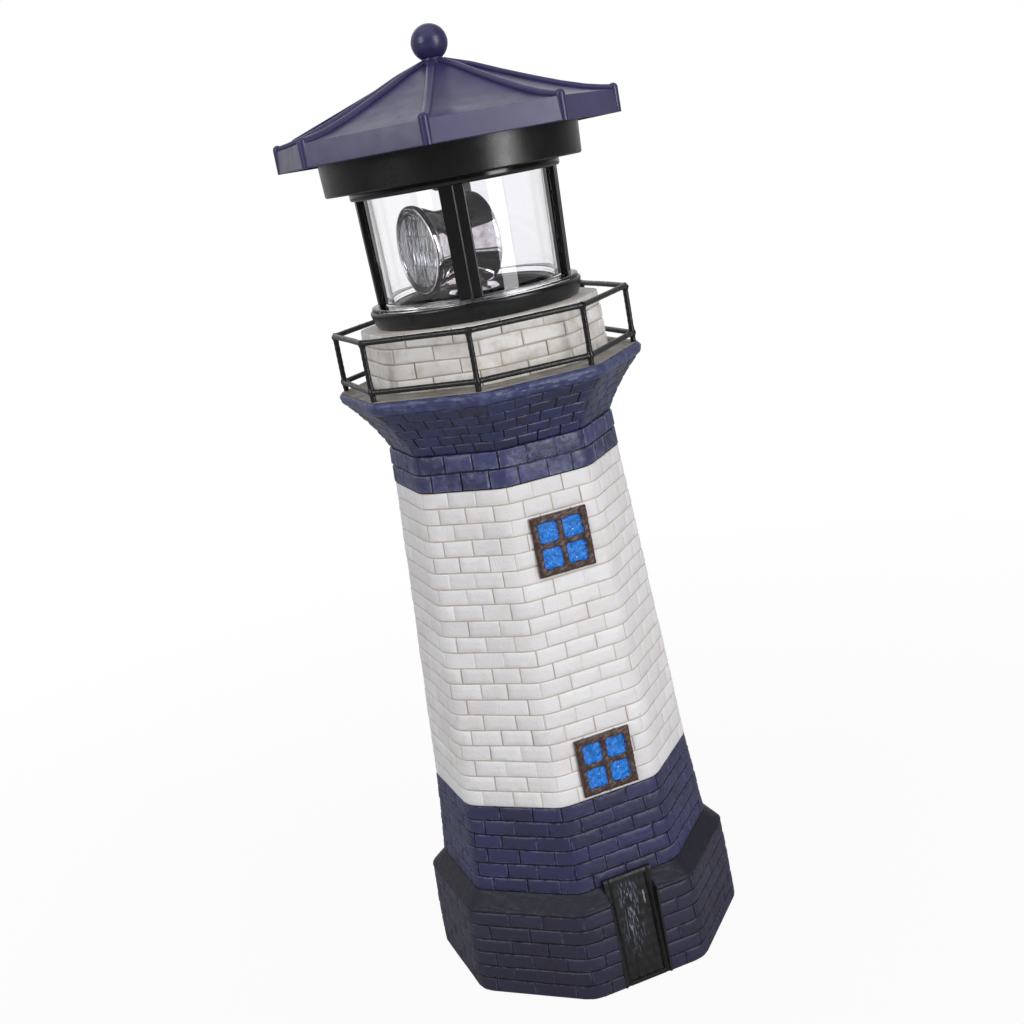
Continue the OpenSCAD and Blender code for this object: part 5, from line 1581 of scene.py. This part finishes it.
@dataclass
class Studio:
    """White seamless studio: pale floor, soft lamps, and a camera at the photograph's angle."""

    eye: tuple[float, float, float] = (-144.2, -413.6, 255.1)
    target: tuple[float, float, float] = (-1.03, 0.36, 145.1)
    roll: float = -0.1826
    lens: float = 49.88
    floor_half: float = 6.0
    floor_gap: float = 0.0002
    fade: tuple[float, float] = (0.09, 0.5)
    floor_white: float = 0.94
    fill: float = 0.48
    shine: tuple[float, float] = (0.05, 0.6)
    aim: tuple[float, float, float] = (0.0, 0.0, 0.17)
    lamps: tuple[Lamp, ...] = (Lamp("key", (0.43, -0.84, 0.4), (0.34, 0.7), 5.4),
                               Lamp("top", (-0.15, -0.3, 1.25), (1.5, 1.5), 4.8),
                               Lamp("left", (-1.04, -0.36, 0.68), (0.5, 0.65), 4.8),
                               Lamp("rear", (0.2, 1.1, 0.8), (0.9, 0.6), 0.8))

    def build(self) -> None:
        """Camera, floor, lamps and world."""
        self._camera()
        self._floor()
        self._lamps()
        self._world()
        bpy.context.scene.view_settings.view_transform = "Standard"

    def _camera(self) -> None:
        """The camera looks from eye to target and is rolled about its line of sight."""
        eye, target = np.array(self.eye) * MM, np.array(self.target) * MM
        ahead = (target - eye) / np.linalg.norm(target - eye)
        right = np.cross(ahead, [0, 0, 1])
        right /= np.linalg.norm(right)
        up = np.cross(right, ahead)
        c, s = math.cos(self.roll), math.sin(self.roll)
        right, up = c * right + s * up, -s * right + c * up
        data = bpy.data.cameras.new("camera")
        data.lens, data.sensor_width, data.sensor_height, data.sensor_fit = self.lens, 36, 36, "AUTO"
        camera = bpy.data.objects.new("camera", data)
        rows = [[right[i], up[i], -ahead[i], eye[i]] for i in range(3)] + [[0, 0, 0, 1]]
        camera.matrix_world = Matrix(rows)
        bpy.context.scene.collection.objects.link(camera)
        bpy.context.scene.camera = camera

    def _floor(self) -> None:
        """A wide white sheet that keeps the object's shadow near it, and fades into plain white further off."""
        mesh = bpy.data.meshes.new("floor")
        size = self.floor_half
        mesh.from_pydata([(-size, -size, 0), (size, -size, 0), (size, size, 0), (-size, size, 0)], [], [(0, 1, 2, 3)])
        floor = bpy.data.objects.new("floor", mesh)
        floor.location.z = -self.floor_gap
        bpy.context.scene.collection.objects.link(floor)
        made = bpy.data.materials.new("white paper sheet")
        made.use_nodes = True
        tree = made.node_tree
        tree.nodes.clear()
        place = node(tree, "TexCoord").outputs["Object"]
        far = node(tree, "VectorMath", {"operation": "LENGTH"}, {0: place}).outputs["Value"]
        bright = Finish.ramp(tree, far, *self.fade, self.floor_white, 1.0)
        share = multiply(tree, seen_or_through(tree), bright)
        paper = node(tree, "BsdfDiffuse", None, {"Color": linear("#b4b4b4")})
        glow = node(tree, "Emission", None, {"Color": (1, 1, 1, 1), "Strength": 1.0})
        both = node(tree, "MixShader", None, {0: share, 1: paper.outputs[0], 2: glow.outputs[0]})
        node(tree, "OutputMaterial", None, {"Surface": both.outputs[0]})
        mesh.materials.append(made)

    def _lamps(self) -> None:
        """A tall soft key from the right and front, a wide top light, a box on the left above the gallery's height, and
        a low rear light, all aimed at the object's middle."""
        for kind in self.lamps:
            data = bpy.data.lights.new(kind.name, "AREA")
            data.energy, data.shape, data.size, data.size_y = kind.power, "RECTANGLE", *kind.size
            lamp = bpy.data.objects.new(kind.name, data)
            lamp.location = kind.place
            lamp.rotation_euler = (Vector(self.aim) - Vector(kind.place)).to_track_quat("-Z", "Y").to_euler()
            bpy.context.scene.collection.objects.link(lamp)

    def _world(self) -> None:
        """Plain white where the camera sees it, also through clear pieces; softer as light; in reflections pale behind
        the object and dark before it."""
        world = bpy.data.worlds.new("studio")
        bpy.context.scene.world = world
        world.use_nodes = True
        tree = world.node_tree
        tree.nodes.clear()
        glossy = node(tree, "LightPath").outputs["Is Glossy Ray"]
        way = node(tree, "SeparateXYZ", None, {0: node(tree, "TexCoord").outputs["Generated"]}).outputs["Y"]
        shine = Finish.ramp(tree, way, -0.15, 0.75, *self.shine)
        dim = node(tree, "MapRange", None, {"Value": glossy, "To Min": self.fill, "To Max": shine}).outputs[0]
        strength = node(tree, "MapRange", None,
                        {"Value": seen_or_through(tree), "To Min": dim, "To Max": 1.0}).outputs[0]
        light = node(tree, "Background", None, {"Color": (1, 1, 1, 1), "Strength": strength})
        node(tree, "OutputWorld", None, {"Surface": light.outputs[0]})


def dress_carried(nodes: dict[str, bpy.types.Object]) -> None:
    """Gives each CAD node that keeps its own mesh its finish.

    Args:
        nodes: The CAD nodes by name.
    """
    for name, finish in CARRIED.items():
        mesh = nodes[name].data
        material = finish.material()
        if mesh.materials:
            for index in range(len(mesh.materials)):
                mesh.materials[index] = material
        else:
            mesh.materials.append(material)
    log.info("dressed %d CAD nodes", len(CARRIED))


def corners(box: tuple) -> list[list[float]]:
    """A box's two corners as plain lists."""
    return [[float(v) for v in corner] for corner in box]


def main() -> None:
    """Loads the frame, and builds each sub-assembly in order."""
    logging.basicConfig(level=logging.INFO, format="%(message)s")
    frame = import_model()
    Studio().build()
    Tower().build()
    Railing().build()
    Lantern().build()
    Roof().build()
    Beacon().build()
    dress_carried(frame["nodes"])
    bpy.context.view_layer.update()


if __name__ == "__main__":
    main()
